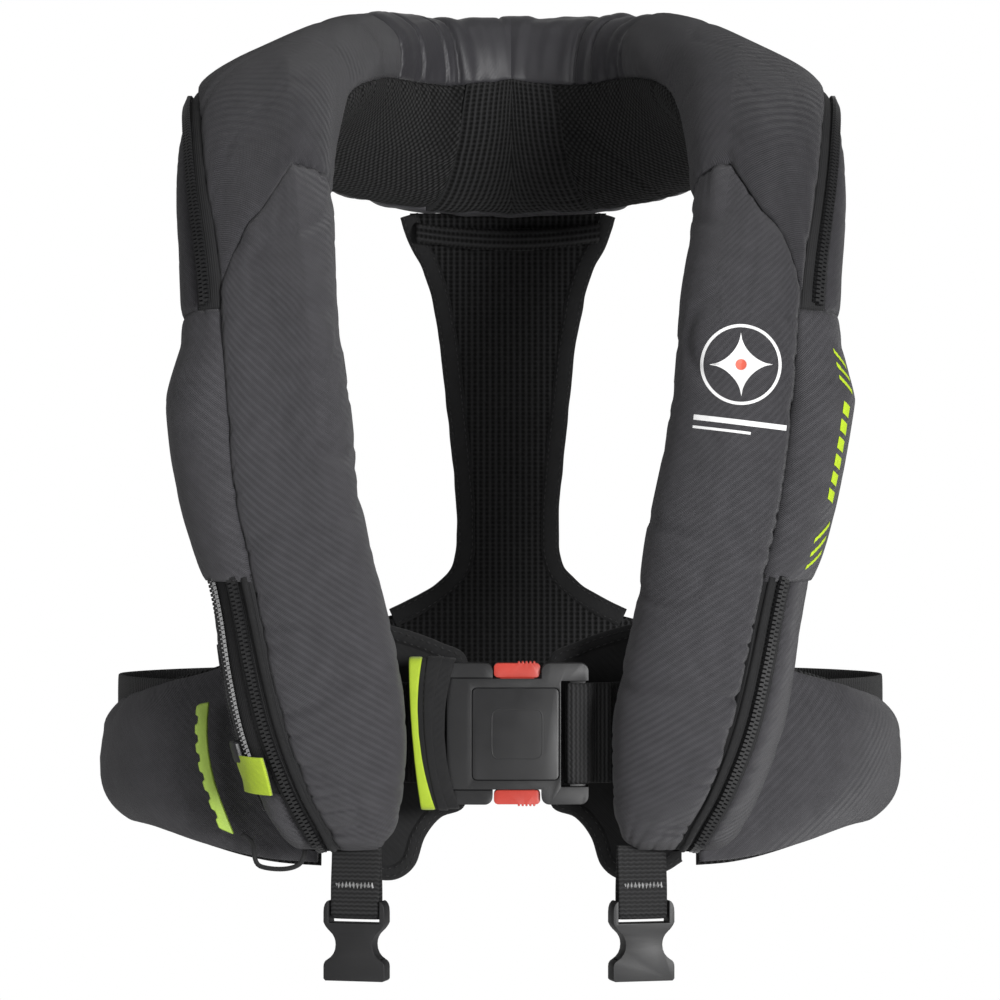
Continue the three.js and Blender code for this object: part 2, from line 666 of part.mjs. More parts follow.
// The part of a curved slab between two depths that lies inside an outline drawn in X and Z.
function curved(outline, front, back) {
  const slab = new THREE.Shape();
  const start = radians(-90 - ARC_REACH);
  const end = radians(-90 + ARC_REACH);
  slab.absarc(0, 0, CURVE_RADIUS - front, start, end, false);
  slab.absarc(0, 0, CURVE_RADIUS - back, end, start, true);
  const ring = plateZ(slab, BELT_Z - BUCKLE_HEIGHT, BELT_Z + BUCKLE_HEIGHT, ARC_STEPS);
  ring.translate(0, HINGE_Y, 0);
  const through = plateY(outline, BUCKLE_Y - BUCKLE_DEPTH, BUCKLE_Y + 2 * BUCKLE_DEPTH);
  through.translate(0, 0, BELT_Z);
  return toSolid(ring).intersect(toSolid(through));
}

const rectangle = (x0, x1, z0, z1) => roundedRectangle(x0, x1, z0, z1, 0.4);
const BUTTON_X0 = -7;
const BUTTON_X1 = BUTTON_X0 + BUTTON_WIDTH;
const PLATE_X0 = -30.4; // the socket's front plate reaches this far over the plug
const REAR_PLATE_SHORTER = 14.4;
const BUTTON_CORNER = 2.2;
const LIP_HALF = HALF_HEIGHT - BUTTON_HEAD + 0.5; // the buttons' heads stand out past this lip
const WINDOW_X0 = 26.3;
const WINDOW_X1 = 30.8;
const BAR_X1 = 38.6;
const BAR_DEPTH = 5;
const TONGUE_HALF = 12;
const TONGUE_DEPTH = 6;
const TONGUE_X1 = 23;
const FACE_X0 = -18;
const FACE_HALF = 23;
const FACE_DEPTH = 1;

// A webbing window with its bar standing free of both faces.
function withBar(solid, hand) {
  const span = (x0, x1) => (hand > 0 ? [x0, x1] : [-x1, -x0]);
  const open = curved(rectangle(...span(WINDOW_X0, BUCKLE_HALF + 5), -BAR_HALF_HEIGHT, BAR_HALF_HEIGHT),
    FRONT - 1, BACK + 1);
  const bar = curved(rectangle(...span(WINDOW_X1, BAR_X1), -BAR_HALF_HEIGHT - 1, BAR_HALF_HEIGHT + 1),
    -BAR_DEPTH / 2, BAR_DEPTH / 2);
  return solid.subtract(open).add(bar);
}

// Socket half, on the wearer's left.
const socketBody = curved(
  roundedRectangle(BUTTON_X1 + 0.6, BUCKLE_HALF, -HALF_HEIGHT, HALF_HEIGHT, 4), FRONT, BACK);
const frontPlate = curved(
  roundedRectangle(PLATE_X0, BUCKLE_HALF - 12, -LIP_HALF, LIP_HALF, 3), FRONT, FRONT + PLATE_THICK);
const rearPlate = curved(
  roundedRectangle(PLATE_X0 + REAR_PLATE_SHORTER, BUCKLE_HALF - 12, -LIP_HALF, LIP_HALF, 3), BACK - PLATE_THICK, BACK);
const tonguePocket = curved(
  rectangle(-30, TONGUE_X1 + 0.8, -TONGUE_HALF - 0.6, TONGUE_HALF + 0.6),
  -TONGUE_DEPTH / 2 - 0.6, TONGUE_DEPTH / 2 + 0.6);
const facePocket = curved(
  roundedRectangle(FACE_X0, WINDOW_X0 - 0.8, -FACE_HALF, FACE_HALF, 2.5), FRONT - 1,
  FRONT + FACE_DEPTH + GAP);
const socket = withBar(socketBody.add(frontPlate).add(rearPlate), 1)
  .subtract(tonguePocket).subtract(facePocket);
add('buckle_socket', toGeometry(socket), BLACK_PLASTIC);
add('buckle_face_plate', toGeometry(curved(
  roundedRectangle(FACE_X0 + GAP, WINDOW_X0 - 0.8 - GAP, -FACE_HALF + GAP, FACE_HALF - GAP, 2.2),
  FRONT - 0.2, FRONT + FACE_DEPTH)), BLACK_PLASTIC);

// Plug half, on the wearer's right. It is slit to slide between the socket's two plates.
const plugBody = curved(
  roundedRectangle(-BUCKLE_HALF, BUTTON_X0 - 0.6, -HALF_HEIGHT, HALF_HEIGHT, 4), FRONT, BACK);
const plugCore = curved(
  rectangle(BUTTON_X0 - 3, TONGUE_X1, -TONGUE_HALF, TONGUE_HALF), -TONGUE_DEPTH / 2, TONGUE_DEPTH / 2);
const frontRelief = curved(
  roundedRectangle(PLATE_X0 - 0.6, BUCKLE_HALF, -LIP_HALF - 0.6, LIP_HALF + 0.6, 3), FRONT - 1,
  FRONT + PLATE_THICK + 0.4);
const rearRelief = curved(
  roundedRectangle(PLATE_X0 + REAR_PLATE_SHORTER - 0.6, BUCKLE_HALF, -LIP_HALF - 0.6,
    LIP_HALF + 0.6, 3),
  BACK - PLATE_THICK - 0.4, BACK + 1);
const plug = withBar(plugBody.subtract(frontRelief).subtract(rearRelief).add(plugCore), -1);
add('buckle_plug', toGeometry(plug), BLACK_PLASTIC);

// Release buttons: a head outside, and a stem behind the lip that the spring pushes on.
const SPRING_FOOT = TONGUE_HALF + GAP;
const STEM_START = LIP_HALF - 7;
const RIBS = 5;
const RIB_PITCH = 1.9;
for (const [name, up] of Object.entries({ upper: 1, lower: -1 })) {
  const band = (x0, x1, from, to, corner = 0.4) =>
    roundedRectangle(x0, x1, Math.min(from * up, to * up), Math.max(from * up, to * up), corner);
  const inside = FRONT + PLATE_THICK + 0.5;
  let button = curved(band(BUTTON_X0, BUTTON_X1, LIP_HALF + GAP, HALF_HEIGHT, BUTTON_CORNER), inside,
    BACK - PLATE_THICK - 0.5)
    .add(curved(band(BUTTON_X0 + 3, BUTTON_X1 - 3, STEM_START, HALF_HEIGHT - 2), inside + 1,
      BACK - PLATE_THICK - 1.5));
  for (let i = 0; i < RIBS; i += 1) {
    const x = BUTTON_X1 - 3 - (RIBS - 1 - i) * RIB_PITCH;
    button = button.add(curved(band(x - 0.55, x + 0.55, HALF_HEIGHT - 0.5, HALF_HEIGHT + 0.9),
      inside, BACK - PLATE_THICK - 0.5));
  }
  add(`${name}_release_button`, toGeometry(button), RED_PLASTIC);
  const turns = 3;
  const coil = Array.from({ length: turns * 8 + 1 }, (_, i) => new THREE.Vector3(
    (BUTTON_X0 + BUTTON_X1) / 2 + 2.2 * Math.cos((i * Math.PI) / 4),
    BUCKLE_Y + 2.2 * Math.sin((i * Math.PI) / 4),
    BELT_Z + up * lerp(SPRING_FOOT + 0.6, STEM_START - GAP - 0.6, i / (turns * 8))));
  add(`${name}_button_spring`, cordAlong(coil, 0.5, turns * 8, 4), STEEL);
}

// ---- Belt: a stitched loop round each buckle bar, then the webbing to the hip ---------------------------------------

const barMiddle = (WINDOW_X1 + BAR_X1) / 2;
const barTurn = Math.asin(barMiddle / CURVE_RADIUS);
const BAR_Y = HINGE_Y - CURVE_RADIUS * Math.cos(barTurn);
const LOOP_GAP = 0.7;
const LOOP_TAIL = 12; // from the bar's middle to the end of the stitched fold
const loopReach = (BAR_X1 - WINDOW_X1) / 2 + LOOP_GAP;
const loopDeep = BAR_DEPTH / 2 + LOOP_GAP;
const onBar = (across, deep) => new THREE.Vector3(
  barMiddle + across * Math.cos(barTurn) - deep * Math.sin(barTurn),
  BAR_Y + across * Math.sin(barTurn) + deep * Math.cos(barTurn), 0);

for (const [name, side] of Object.entries(SIDES)) {
  const ringOf = (extra) => roundedRectangle(-loopReach - extra, loopReach + extra,
    -loopDeep - extra, loopDeep + extra, 1.6 + extra);
  const bottom = BELT_Z - BELT_WIDTH / 2;
  const top = BELT_Z + BELT_WIDTH / 2;
  const place = (geometry) => {
    geometry.rotateZ(barTurn);
    geometry.translate(barMiddle, BAR_Y, 0);
    return toSolid(geometry);
  };
  const outer = place(plateZ(ringOf(BELT_THICK), bottom, top));
  const inner = place(plateZ(ringOf(0), bottom - 1, top + 1));
  const tail = place(block(0, LOOP_TAIL, loopDeep, loopDeep + BELT_THICK, bottom, top));
  const loop = outer.add(tail).subtract(inner);

  const last = waistAtX(WAIST_HALF * 0.46, true);
  const front = [
    onBar(LOOP_TAIL - 4, loopDeep + BELT_THICK / 2),
    onBar(LOOP_TAIL - 1, loopDeep + BELT_THICK / 2),
    onBar(LOOP_TAIL + 12, 0).setY(lerp(BAR_Y, BELT_FRONT_Y, 0.5)),
    onBar(LOOP_TAIL + 28, 0).setY(lerp(BAR_Y, BELT_FRONT_Y, 0.9)),
  ];
  const hip = Array.from({ length: 14 }, (_, i) =>
    WAIST_LINE.getPoint(lerp(last, waistAtX(WING_START_X, false), i / 13)));
  const line = new THREE.CatmullRomCurve3([...front, ...hip], false, 'centripetal');
  const strap = Array.from({ length: 31 }, (_, i) => {
    const at = line.getPointAt(i / 30);
    const along = line.getTangentAt(i / 30);
    const out = new THREE.Vector3(along.y, -along.x, 0);
    return [[1, 1], [-1, 1], [-1, -1], [1, -1]].map(([dy, dz]) => new THREE.Vector3(
      at.x + (dy * out.x * BELT_THICK) / 2, at.y + (dy * out.y * BELT_THICK) / 2,
      BELT_Z + (dz * BELT_WIDTH) / 2));
  });
  const belt = toGeometry(loop.add(toSolid(ovalSkin(strap))));
  add(`${name}_belt`, side > 0 ? belt : flipped(belt), WEBBING);
}

// Elastic keeper over the plug's belt loop, with a bright edge.
const KEEPER_X0 = -(BUCKLE_HALF + 2.5);
const KEEPER_X1 = -(WINDOW_X1 - 0.5);
const TRIM_WIDTH = 5.5;
const KEEPER_WALL = 1.6;
const KEEPER_HALF = HALF_HEIGHT + 2.6;
const KEEPER_DEPTH = BUCKLE_DEPTH / 2 + 3.4;
const keeperRing = (x0, x1) => {
  const y = BAR_Y;
  const ring = roundedRectangle(y - KEEPER_DEPTH, y + KEEPER_DEPTH,
    BELT_Z - KEEPER_HALF, BELT_Z + KEEPER_HALF, 4);
  const hole = roundedRectangle(y - KEEPER_DEPTH + KEEPER_WALL, y + KEEPER_DEPTH - KEEPER_WALL,
    BELT_Z - KEEPER_HALF + KEEPER_WALL, BELT_Z + KEEPER_HALF - KEEPER_WALL, 2.4);
  ring.holes.push(hole);
  return toGeometry(toSolid(plateX(ring, x0, x1)));
};
add('belt_keeper', keeperRing(KEEPER_X0 - TRIM_WIDTH, KEEPER_X1), BINDING_FABRIC);

// ---- Crotch-strap tabs and sockets -----------------------------------------------------------------------------------

const SOCKET_BAR = 3; // thickness of the bar that the tab loops round
const TAB_Y = CHEST_Y + 10;

function socketOutline() {
  const w = SOCKET_WIDTH / 2;
  const neck = w * 0.6;
  const foot = -SOCKET_LENGTH + 6;
  const shape = new THREE.Shape();
  shape.moveTo(-w + 3, 6);
  shape.quadraticCurveTo(-w, 5, -w, 0);
  shape.lineTo(-w, -5);
  shape.quadraticCurveTo(-w + 1, -7.5, -neck - 3, -9.5);
  shape.quadraticCurveTo(-neck, -12, -neck, -16);
  shape.quadraticCurveTo(-neck, -21, -w + 2, -23.5);
  shape.quadraticCurveTo(-w, -24.5, -w, -27);
  shape.lineTo(-w, foot + 1);
  shape.lineTo(-w + 1, foot);
  shape.lineTo(w - 1, foot);
  shape.lineTo(w, foot + 1);
  shape.lineTo(w, -27);
  shape.quadraticCurveTo(w, -24.5, w - 2, -23.5);
  shape.quadraticCurveTo(neck, -21, neck, -16);
  shape.quadraticCurveTo(neck, -12, neck + 3, -9.5);
  shape.quadraticCurveTo(w - 1, -7.5, w, -5);
  shape.lineTo(w, 0);
  shape.quadraticCurveTo(w, 5, w - 3, 6);
  shape.closePath();
  return shape;
}

function crotchSocket() {
  const d = SOCKET_DEPTH / 2;
  const slotHalf = TAB_WIDTH / 2 + 0.6;
  const foot = -SOCKET_LENGTH + 6;
  const mouthHalf = SOCKET_WIDTH / 2 - 2.2;
  const mouthDeep = SOCKET_DEPTH / 2 - 1.8;
  const neckHalf = SOCKET_WIDTH * 0.3 - 2;
  const reach = TAB_THICK + LOOP_GAP;
  return toSolid(plateY(socketOutline(), -d, d, 4))
    .subtract(toSolid(block(-slotHalf, slotHalf, -d - 1, d + 1, -SOCKET_BAR / 2 - reach - 1.6, 7)))
    .add(toSolid(block(-slotHalf - 1, slotHalf + 1, -SOCKET_BAR / 2, SOCKET_BAR / 2,
      -SOCKET_BAR / 2, SOCKET_BAR / 2)))
    .subtract(toSolid(block(-mouthHalf, mouthHalf, -mouthDeep, mouthDeep, foot - 1, foot + 11)))
    .subtract(toSolid(block(-neckHalf, neckHalf, -mouthDeep, mouthDeep, foot + 10, -9)));
}

for (const [name, side] of Object.entries(SIDES)) {
  const barZ = HEM_Z - TAB_DROP;
  const turn = radians(side * SOCKET_TURN);
  const x = side * TAB_X[name];

  const half = SOCKET_BAR / 2 + LOOP_GAP;
  const tabTop = TAB_DROP - 3;
  const loop = roundedRectangle(-half - TAB_THICK, half + TAB_THICK,
    -half - TAB_THICK, tabTop, half + TAB_THICK - 0.2);
  loop.holes.push(roundedRectangle(-half, half, -half, tabTop - TAB_THICK, half - 0.2));
  const tab = toGeometry(toSolid(plateX(loop, -TAB_WIDTH / 2, TAB_WIDTH / 2, 5)));
  tab.rotateZ(turn);
  tab.translate(x, TAB_Y, barZ);
  add(`${name}_crotch_tab`, tab, WEBBING);

  const piece = add(`${name}_crotch_socket`, toGeometry(crotchSocket()), BLACK_PLASTIC);
  piece.rotation.z = turn;
  piece.position.set(x, TAB_Y, barZ);
}

// ---- Inflator, gas cylinder, firing lever and pull handle in the right lobe -----------------------------------------------

const pocketY = LOBE_BACK_Y - COVER_WALL - CYLINDER_RADIUS - 1.5;
const inflatorTop = frameAt(3.6).centre.clone().setY(pocketY);
const cylinderAim = frameAt(6.4).centre.clone().setY(pocketY - 1);
const lean = new THREE.Vector3().subVectors(cylinderAim, inflatorTop).normalize();
const along = (distance) => {
  const point = inflatorTop.clone().addScaledVector(lean, distance);
  return new THREE.Vector3(-point.x, point.y, point.z);
};

const R = CYLINDER_RADIUS;
add('gas_cylinder', turned([
  [0, 0], [4.5, 0], [4.5, 8], [R, 15], [R, CYLINDER_LENGTH - 6], [R * 0.6, CYLINDER_LENGTH - 1],
  [0, CYLINDER_LENGTH],
], along(GAP), along(1 + GAP)), STEEL);

const bodyHalf = INFLATOR_WIDTH / 2;
const inflator = new THREE.Mesh(toGeometry(toSolid(plateZ(
  roundedRectangle(-bodyHalf, bodyHalf, -9, 9, 4), -INFLATOR_LENGTH, 0))));
const tilt = new THREE.Quaternion().setFromUnitVectors(
  new THREE.Vector3(0, 0, 1), new THREE.Vector3(-lean.x, lean.y, lean.z));
const base = along(0);
inflator.geometry.applyQuaternion(tilt);
inflator.geometry.translate(base.x, base.y, base.z);
add('inflator_body', inflator.geometry, BLACK_PLASTIC);
add('inflator_cap', turned([
  [0, 0], [8.5, 0], [8.5, 10], [6, 12], [0, 12],
], along(-INFLATOR_LENGTH - GAP), along(-INFLATOR_LENGTH - 1 - GAP)), WHITE_PLASTIC);

// The lever turns on a pin through the inflator's outer side.
const LEVER_LENGTH = 22;
const LEVER_THICK = 2.5;
const leverPivot = along(-INFLATOR_LENGTH / 2).add(new THREE.Vector3(-bodyHalf - 5, 0, 0));
const leverShape = new THREE.Shape();
leverShape.absarc(0, 0, 3.2, 0, Math.PI);
leverShape.lineTo(-2.2, -LEVER_LENGTH);
leverShape.lineTo(2.2, -LEVER_LENGTH);
leverShape.closePath();
const pinHole = new THREE.Path();
pinHole.absarc(0, 0, 1.35, 0, 2 * Math.PI);
leverShape.holes.push(pinHole);
const lever = toGeometry(toSolid(plateY(leverShape, -LEVER_THICK / 2, LEVER_THICK / 2, 6)));
lever.translate(leverPivot.x, leverPivot.y, leverPivot.z);
add('firing_lever', lever, WHITE_PLASTIC);
const pinEnd = new THREE.Vector3(0, 5, 0);
add('lever_pin', turned([[0, 0], [1, 0], [1, 10], [0, 10]],
  leverPivot.clone().sub(pinEnd), leverPivot.clone().add(pinEnd), 10), STEEL);

// A curved toothed pull handle beside the lobe.
const HANDLE_HEIGHT = 66;
const HANDLE_BULGE = 9;
const HANDLE_WIDTH = 6;
const HANDLE_THICK = 8;
const HANDLE_X = -143;
const HANDLE_Y = LOBE_BACK_Y + 1;
const HANDLE_Z = BELT_Z - 18;

function handleOutline() {
  const shape = new THREE.Shape();
  const teeth = 7;
  const bow = (s, extra) => [
    -(HANDLE_BULGE * Math.sin(Math.PI * (0.25 + 0.75 * (1 - s))) + extra) + 6 * (1 - s),
    lerp(-HANDLE_HEIGHT / 2, HANDLE_HEIGHT / 2, s),
  ];
  shape.moveTo(...bow(0, 0));
  for (let i = 0; i < teeth; i += 1) {
    const s = i / teeth;
    shape.lineTo(...bow(s + 0.25 / teeth, HANDLE_WIDTH - 1.4));
    shape.lineTo(...bow(s + 0.35 / teeth, HANDLE_WIDTH));
    shape.lineTo(...bow(s + 0.8 / teeth, HANDLE_WIDTH));
    shape.lineTo(...bow(s + 0.9 / teeth, HANDLE_WIDTH - 1.4));
  }
  for (let i = 8; i >= 1; i -= 1) {
    shape.lineTo(...bow(i / 8, 0));
  }
  shape.closePath();
  return shape;
}

const handle = toGeometry(toSolid(plateY(handleOutline(), -HANDLE_THICK / 2, HANDLE_THICK / 2)));
handle.translate(HANDLE_X, HANDLE_Y, HANDLE_Z);
add('pull_handle', handle, LIME_RUBBER);
const handleFoot = new THREE.Vector3(HANDLE_X + 6, HANDLE_Y, HANDLE_Z - HANDLE_HEIGHT / 2 + 3);
const leverTip = leverPivot.clone().add(new THREE.Vector3(0, 0, -LEVER_LENGTH - 1.6));
add('pull_cord', cordAlong([
  leverTip,
  leverTip.clone().add(new THREE.Vector3(6, 1, -10)),
  new THREE.Vector3(leverTip.x + 8, TAB_Y + 4, HEM_Z - 5),
  new THREE.Vector3((leverTip.x + handleFoot.x) / 2, HANDLE_Y - 2, HEM_Z - 9),
  new THREE.Vector3(handleFoot.x + 9, HANDLE_Y, handleFoot.z - 7),
  handleFoot.clone().add(new THREE.Vector3(4, 0, -3)),
], 1.2, 16, 4), BINDING_FABRIC);

// ---- Access zip slider and its bright pull tab --------------------------------------------------------------------------------

const SLIDER_STATION = 2.75;
const sliderFrame = frameAt(SLIDER_STATION);
const zipAngle = (ACCESS_ZIP_FROM + ACCESS_ZIP_TO) / 2;
const onZip = (t, angle, lift) => {
  const point = sectionPoint(frameAt(t), angle, -lift);
  return new THREE.Vector3(-point.x, point.y, point.z);
};
const zipUp = onZip(SLIDER_STATION + 0.6, zipAngle, 0).sub(onZip(SLIDER_STATION, zipAngle, 0))
  .normalize();
const zipAcross = onZip(SLIDER_STATION, zipAngle + 8, 0).sub(onZip(SLIDER_STATION, zipAngle - 8, 0));
const zipOut = new THREE.Vector3().crossVectors(zipUp, zipAcross).normalize();
if (zipOut.dot(sliderFrame.face) < 0) {
  zipOut.negate();
}
const zipSide = new THREE.Vector3().crossVectors(zipUp, zipOut);
const zipBasis = new THREE.Matrix4().makeBasis(zipSide, zipUp, zipOut);
const sliderAt = onZip(SLIDER_STATION, zipAngle, 0).addScaledVector(zipOut, 2.6);
const onSlider = (geometry) => {
  geometry.applyMatrix4(zipBasis);
  geometry.translate(sliderAt.x, sliderAt.y, sliderAt.z);
  return geometry;
};
const SLIDER_LENGTH = 11;
add('zip_slider', onSlider(toGeometry(toSolid(plateZ(
  roundedRectangle(-4, 4, -SLIDER_LENGTH / 2, SLIDER_LENGTH / 2, 2), -1, 1.6)))), BLACK_PLASTIC);
add('zip_pull', onSlider(toGeometry(toSolid(plateZ(
  roundedRectangle(-6.5, 6.5, -SLIDER_LENGTH / 2 - 19, -SLIDER_LENGTH / 2 - GAP, 1), 0.4, 2)))),
LIME_FABRIC);

// ---- Oral tube and whistle in the left lobe -----------------------------------------------------------------------------------------

const tubeLow = frameAt(3.4).centre.clone().setY(pocketY);
const tubeHigh = frameAt(6.6).centre.clone().setY(pocketY);
tubeLow.x -= 12;
tubeHigh.x -= 12;
const TUBE_LENGTH = 118;
add('oral_tube', turned([
  [0, 0], [TUBE_RADIUS, 0], [TUBE_RADIUS, TUBE_LENGTH], [0, TUBE_LENGTH],
], tubeLow, tubeHigh), BLACK_PLASTIC);
const tubeDirection = new THREE.Vector3().subVectors(tubeHigh, tubeLow).normalize();
const capFoot = tubeLow.clone().addScaledVector(tubeDirection, -GAP);
add('oral_tube_cap', turned([
  [0, 0], [TUBE_RADIUS + 1.2, 0], [TUBE_RADIUS + 1.2, 14], [4, 17], [0, 17],
], capFoot, capFoot.clone().sub(tubeDirection)), ORANGE_PLASTIC);

const WHISTLE_LENGTH = 42;
const whistleAt = frameAt(4.6).centre.clone().setY(pocketY + 1);
whistleAt.x += 14;
const whistle = toGeometry(toSolid(plateZ(roundedRectangle(-7, 7, -6, 6, 2.5), 0, WHISTLE_LENGTH)));
whistle.translate(whistleAt.x, whistleAt.y, whistleAt.z);
add('whistle', whistle, ORANGE_PLASTIC);
export default jacket;
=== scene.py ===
# %% [markdown]
# # An inflatable life jacket
#
# The rigid model arrives packed, with every piece in its real place. This lesson dresses it: the lobes
# get sewn fabric with seams and zips, the collar gets gathered satin and a ribbed lining, and the hard
# pieces get rounded edges and moulded finishes. Everything is in metres, +X is the wearer's left,
# +Y the wearer's back and +Z is up.

import math

import bmesh
import bpy
import numpy as np
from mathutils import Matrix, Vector
from mathutils.bvhtree import BVHTree


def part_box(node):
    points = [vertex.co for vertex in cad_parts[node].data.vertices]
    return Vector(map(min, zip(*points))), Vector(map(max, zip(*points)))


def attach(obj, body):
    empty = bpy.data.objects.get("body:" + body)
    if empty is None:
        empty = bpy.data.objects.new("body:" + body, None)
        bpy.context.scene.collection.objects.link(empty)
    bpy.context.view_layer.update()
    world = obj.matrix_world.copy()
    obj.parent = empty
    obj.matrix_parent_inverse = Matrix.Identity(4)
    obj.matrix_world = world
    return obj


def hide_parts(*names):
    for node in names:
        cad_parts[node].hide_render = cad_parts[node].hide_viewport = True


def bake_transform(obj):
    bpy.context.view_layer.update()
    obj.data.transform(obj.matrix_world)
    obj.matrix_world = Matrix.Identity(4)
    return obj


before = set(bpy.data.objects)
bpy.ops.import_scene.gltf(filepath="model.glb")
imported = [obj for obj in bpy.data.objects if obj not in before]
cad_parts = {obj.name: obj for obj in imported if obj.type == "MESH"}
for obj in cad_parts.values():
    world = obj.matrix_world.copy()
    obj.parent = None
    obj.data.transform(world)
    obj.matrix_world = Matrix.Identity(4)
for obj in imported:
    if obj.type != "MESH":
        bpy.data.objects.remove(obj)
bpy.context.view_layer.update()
MM = 0.001

# %% [markdown]
# ## The camera
#
# A jacket is shown straight on, from far away with a long lens, so that the shoulders don't swell. The
# camera stands level with the middle of the jacket.

# %% Camera
EYE_DISTANCE = 2.35
EYE_HEIGHT = -0.16
camera_data = bpy.data.cameras.new("camera")
camera_data.lens = 160
camera_data.sensor_width = 36
camera_data.shift_x = -0.008
camera = bpy.data.objects.new("camera", camera_data)
camera.location = (0, -EYE_DISTANCE, EYE_HEIGHT)
camera.rotation_euler = (math.radians(90), 0, 0)
bpy.context.scene.collection.objects.link(camera)
bpy.context.scene.camera = camera

# %% [markdown]
# ## The shape under the fabric
#
# Both lobes and the collar are one long air chamber. Its shape is a row of rounded sections: each row
# says where the section's middle is, how wide and deep it is and which way its outer edge points. The
# rows are shares of the jacket's own sizes: lengths read from the frame's boxes, and the widths and
# depths that the rigid model was drawn with. Lofting a skin over such rows gives every panel the same
# smooth surface, so neighbouring panels meet exactly.

# %% Sizes read from the frame
hem_low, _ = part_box("left_front_cover")
_, collar_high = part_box("collar_cover_middle")
LOBE_LENGTH = -hem_low.z - 0.8 * MM
COLLAR_TOP = collar_high.z + 0.4 * MM
COLLAR_BACK = collar_high.y
LOBE_WIDTH = 78 * MM
LOBE_DEPTH = 58 * MM
NECK_GAP = 178 * MM
COLLAR_HEIGHT = 110 * MM
COLLAR_DEPTH = 52 * MM
COLLAR_Y = COLLAR_BACK - COLLAR_DEPTH / 2
CHEST_Y = -158 * MM
SQUARENESS = 2.6
LEAN = 1.7 * MM  # the collar hangs a little to the wearer's left
print("lobe length %.3f, collar top %.3f, collar middle %.3f" % (LOBE_LENGTH, COLLAR_TOP, COLLAR_Y))

# %% The sections
# The rows are the CAD's own.
# Down the lobe, inner edge, width, depth, set-back in mm, and the angle where the front panel starts.
LOBE_ROWS = [
    (0.997, 0.67, 0.62, 0.45, 8, 92), (0.952, 0.60, 0.83, 0.69, 6, 87), (0.898, 0.58, 0.954, 0.86, 4, 80),
    (0.823, 0.573, 1.077, 0.96, 2, 75), (0.734, 0.607, 1.115, 1.0, 0, 71),
    (0.626, 0.697, 1.077, 1.03, -1, 68),
    (0.48, 0.81, 1.09, 1.03, -2, 69), (0.33, 0.90, 1.05, 1.0, -1, 70), (0.183, 0.955, 1.0, 0.98, 4, 67),
    (0.042, 1.0, 1.0, 0.97, 25, 58),
]
# Across, forward, up, heading, tilt, width, depth, front seam angle and lining seam angle.
COLLAR_ROWS = [
    (1.427, 0.771, 0.23, 0, 10, 0.727, 1.1, 50, 200), (1.36, 0.593, 0.44, 0, 21, 0.764, 1.08, 34, 196),
    (1.19, 0.39, 0.52, 22, 39, 0.836, 1.08, -10, 225), (0.9, 0.186, 0.5, 42, 63, 0.927, 1.04, -14, 246),
    (0.505, 0.042, 0.471, 62, 81, 0.98, 1.0, -14, 255), (0, 0, 0.471, 90, 90, 1.0, 1.0, -14, 256),
]


def lobe_station(down, inner, width, depth, back, seam):
    half = LOBE_WIDTH * width / 2
    return [NECK_GAP / 2 * inner + half, CHEST_Y + back * MM, -LOBE_LENGTH * down, 0, 0, half,
            LOBE_DEPTH * depth / 2, seam, 200]


def collar_station(across, forward, up, heading, tilt, width, depth, seam, lining):
    return [NECK_GAP / 2 * across, COLLAR_Y + (CHEST_Y - COLLAR_Y) * forward, COLLAR_TOP * up, heading,
            tilt, COLLAR_HEIGHT * width / 2, COLLAR_DEPTH * depth / 2, seam, lining]


STATIONS = np.array([lobe_station(*r) for r in LOBE_ROWS] + [collar_station(*r) for r in COLLAR_ROWS])
NAPE = len(STATIONS) - 1
X, Y, Z, HEADING, TILT, HALF, DEEP, SEAM, LINING = range(9)


def between(column, t):
    """A column's smooth value at station t, which may be an array."""
    t = np.asarray(t, float)
    i = np.clip(np.floor(t).astype(int), 0, NAPE - 1)
    f = t - i
    pick = lambda k: STATIONS[np.clip(k, 0, NAPE), column]
    p, a, b, n = pick(i - 1), pick(i), pick(i + 1), pick(i + 2)
    rise, after = (b - p) / 2, (n - a) / 2
    return a + f * (rise + f * (3 * (b - a) - 2 * rise - after + f * (2 * (a - b) + rise + after)))


def middle_line(t):
    return np.stack([between(X, t), between(Y, t), between(Z, t)], -1)


def signed_power(value, exponent):
    return np.sign(value) * np.abs(value) ** exponent


def surface(t, angle, lift=0.0, side=1):
    """Points on the chamber's skin: t runs along it, angle round it and lift is outwards."""
    t, angle = np.broadcast_arrays(np.asarray(t, float), np.asarray(angle, float))
    ahead = np.clip(t + 0.05, 0, NAPE)
    behind = np.clip(t - 0.05, 0, NAPE)
    along = middle_line(ahead) - middle_line(behind)
    heading, tilt = np.radians(between(HEADING, t)), np.radians(between(TILT, t))
    edge = np.stack([np.cos(heading) * np.cos(tilt), np.sin(heading) * np.cos(tilt), -np.sin(tilt)], -1)
    face = np.cross(edge, along)
    face /= np.linalg.norm(face, axis=-1, keepdims=True)
    closing = np.clip(t / 0.5, 0, 1)
    half = between(HALF, t) * (0.9 + 0.1 * closing) + lift
    deep = between(DEEP, t) * (0.15 + 0.85 * np.sqrt(closing)) + lift
    a = np.radians(angle)
    across = half * signed_power(np.cos(a), 2 / SQUARENESS)
    out = deep * signed_power(np.sin(a), 2 / SQUARENESS)
    points = middle_line(t) + edge * across[..., None] + face * out[..., None]
    points[..., 0] *= side
    rise = np.clip((points[..., 2] + 0.17) / 0.09, 0, 1)
    points[..., 0] += LEAN * rise * rise * (3 - 2 * rise)
    return points


# %% [markdown]
# ## Meshes from grids, and cloth that isn't quite smooth
#
# A sewn panel is a grid: one direction runs along it and one across. Each grid also gets a UV map in
# millimetres, so that a weave keeps its real size on every piece. Small folds come from a seeded random
# field: where the field crosses zero it makes a thin valley, which is what a crease looks like.

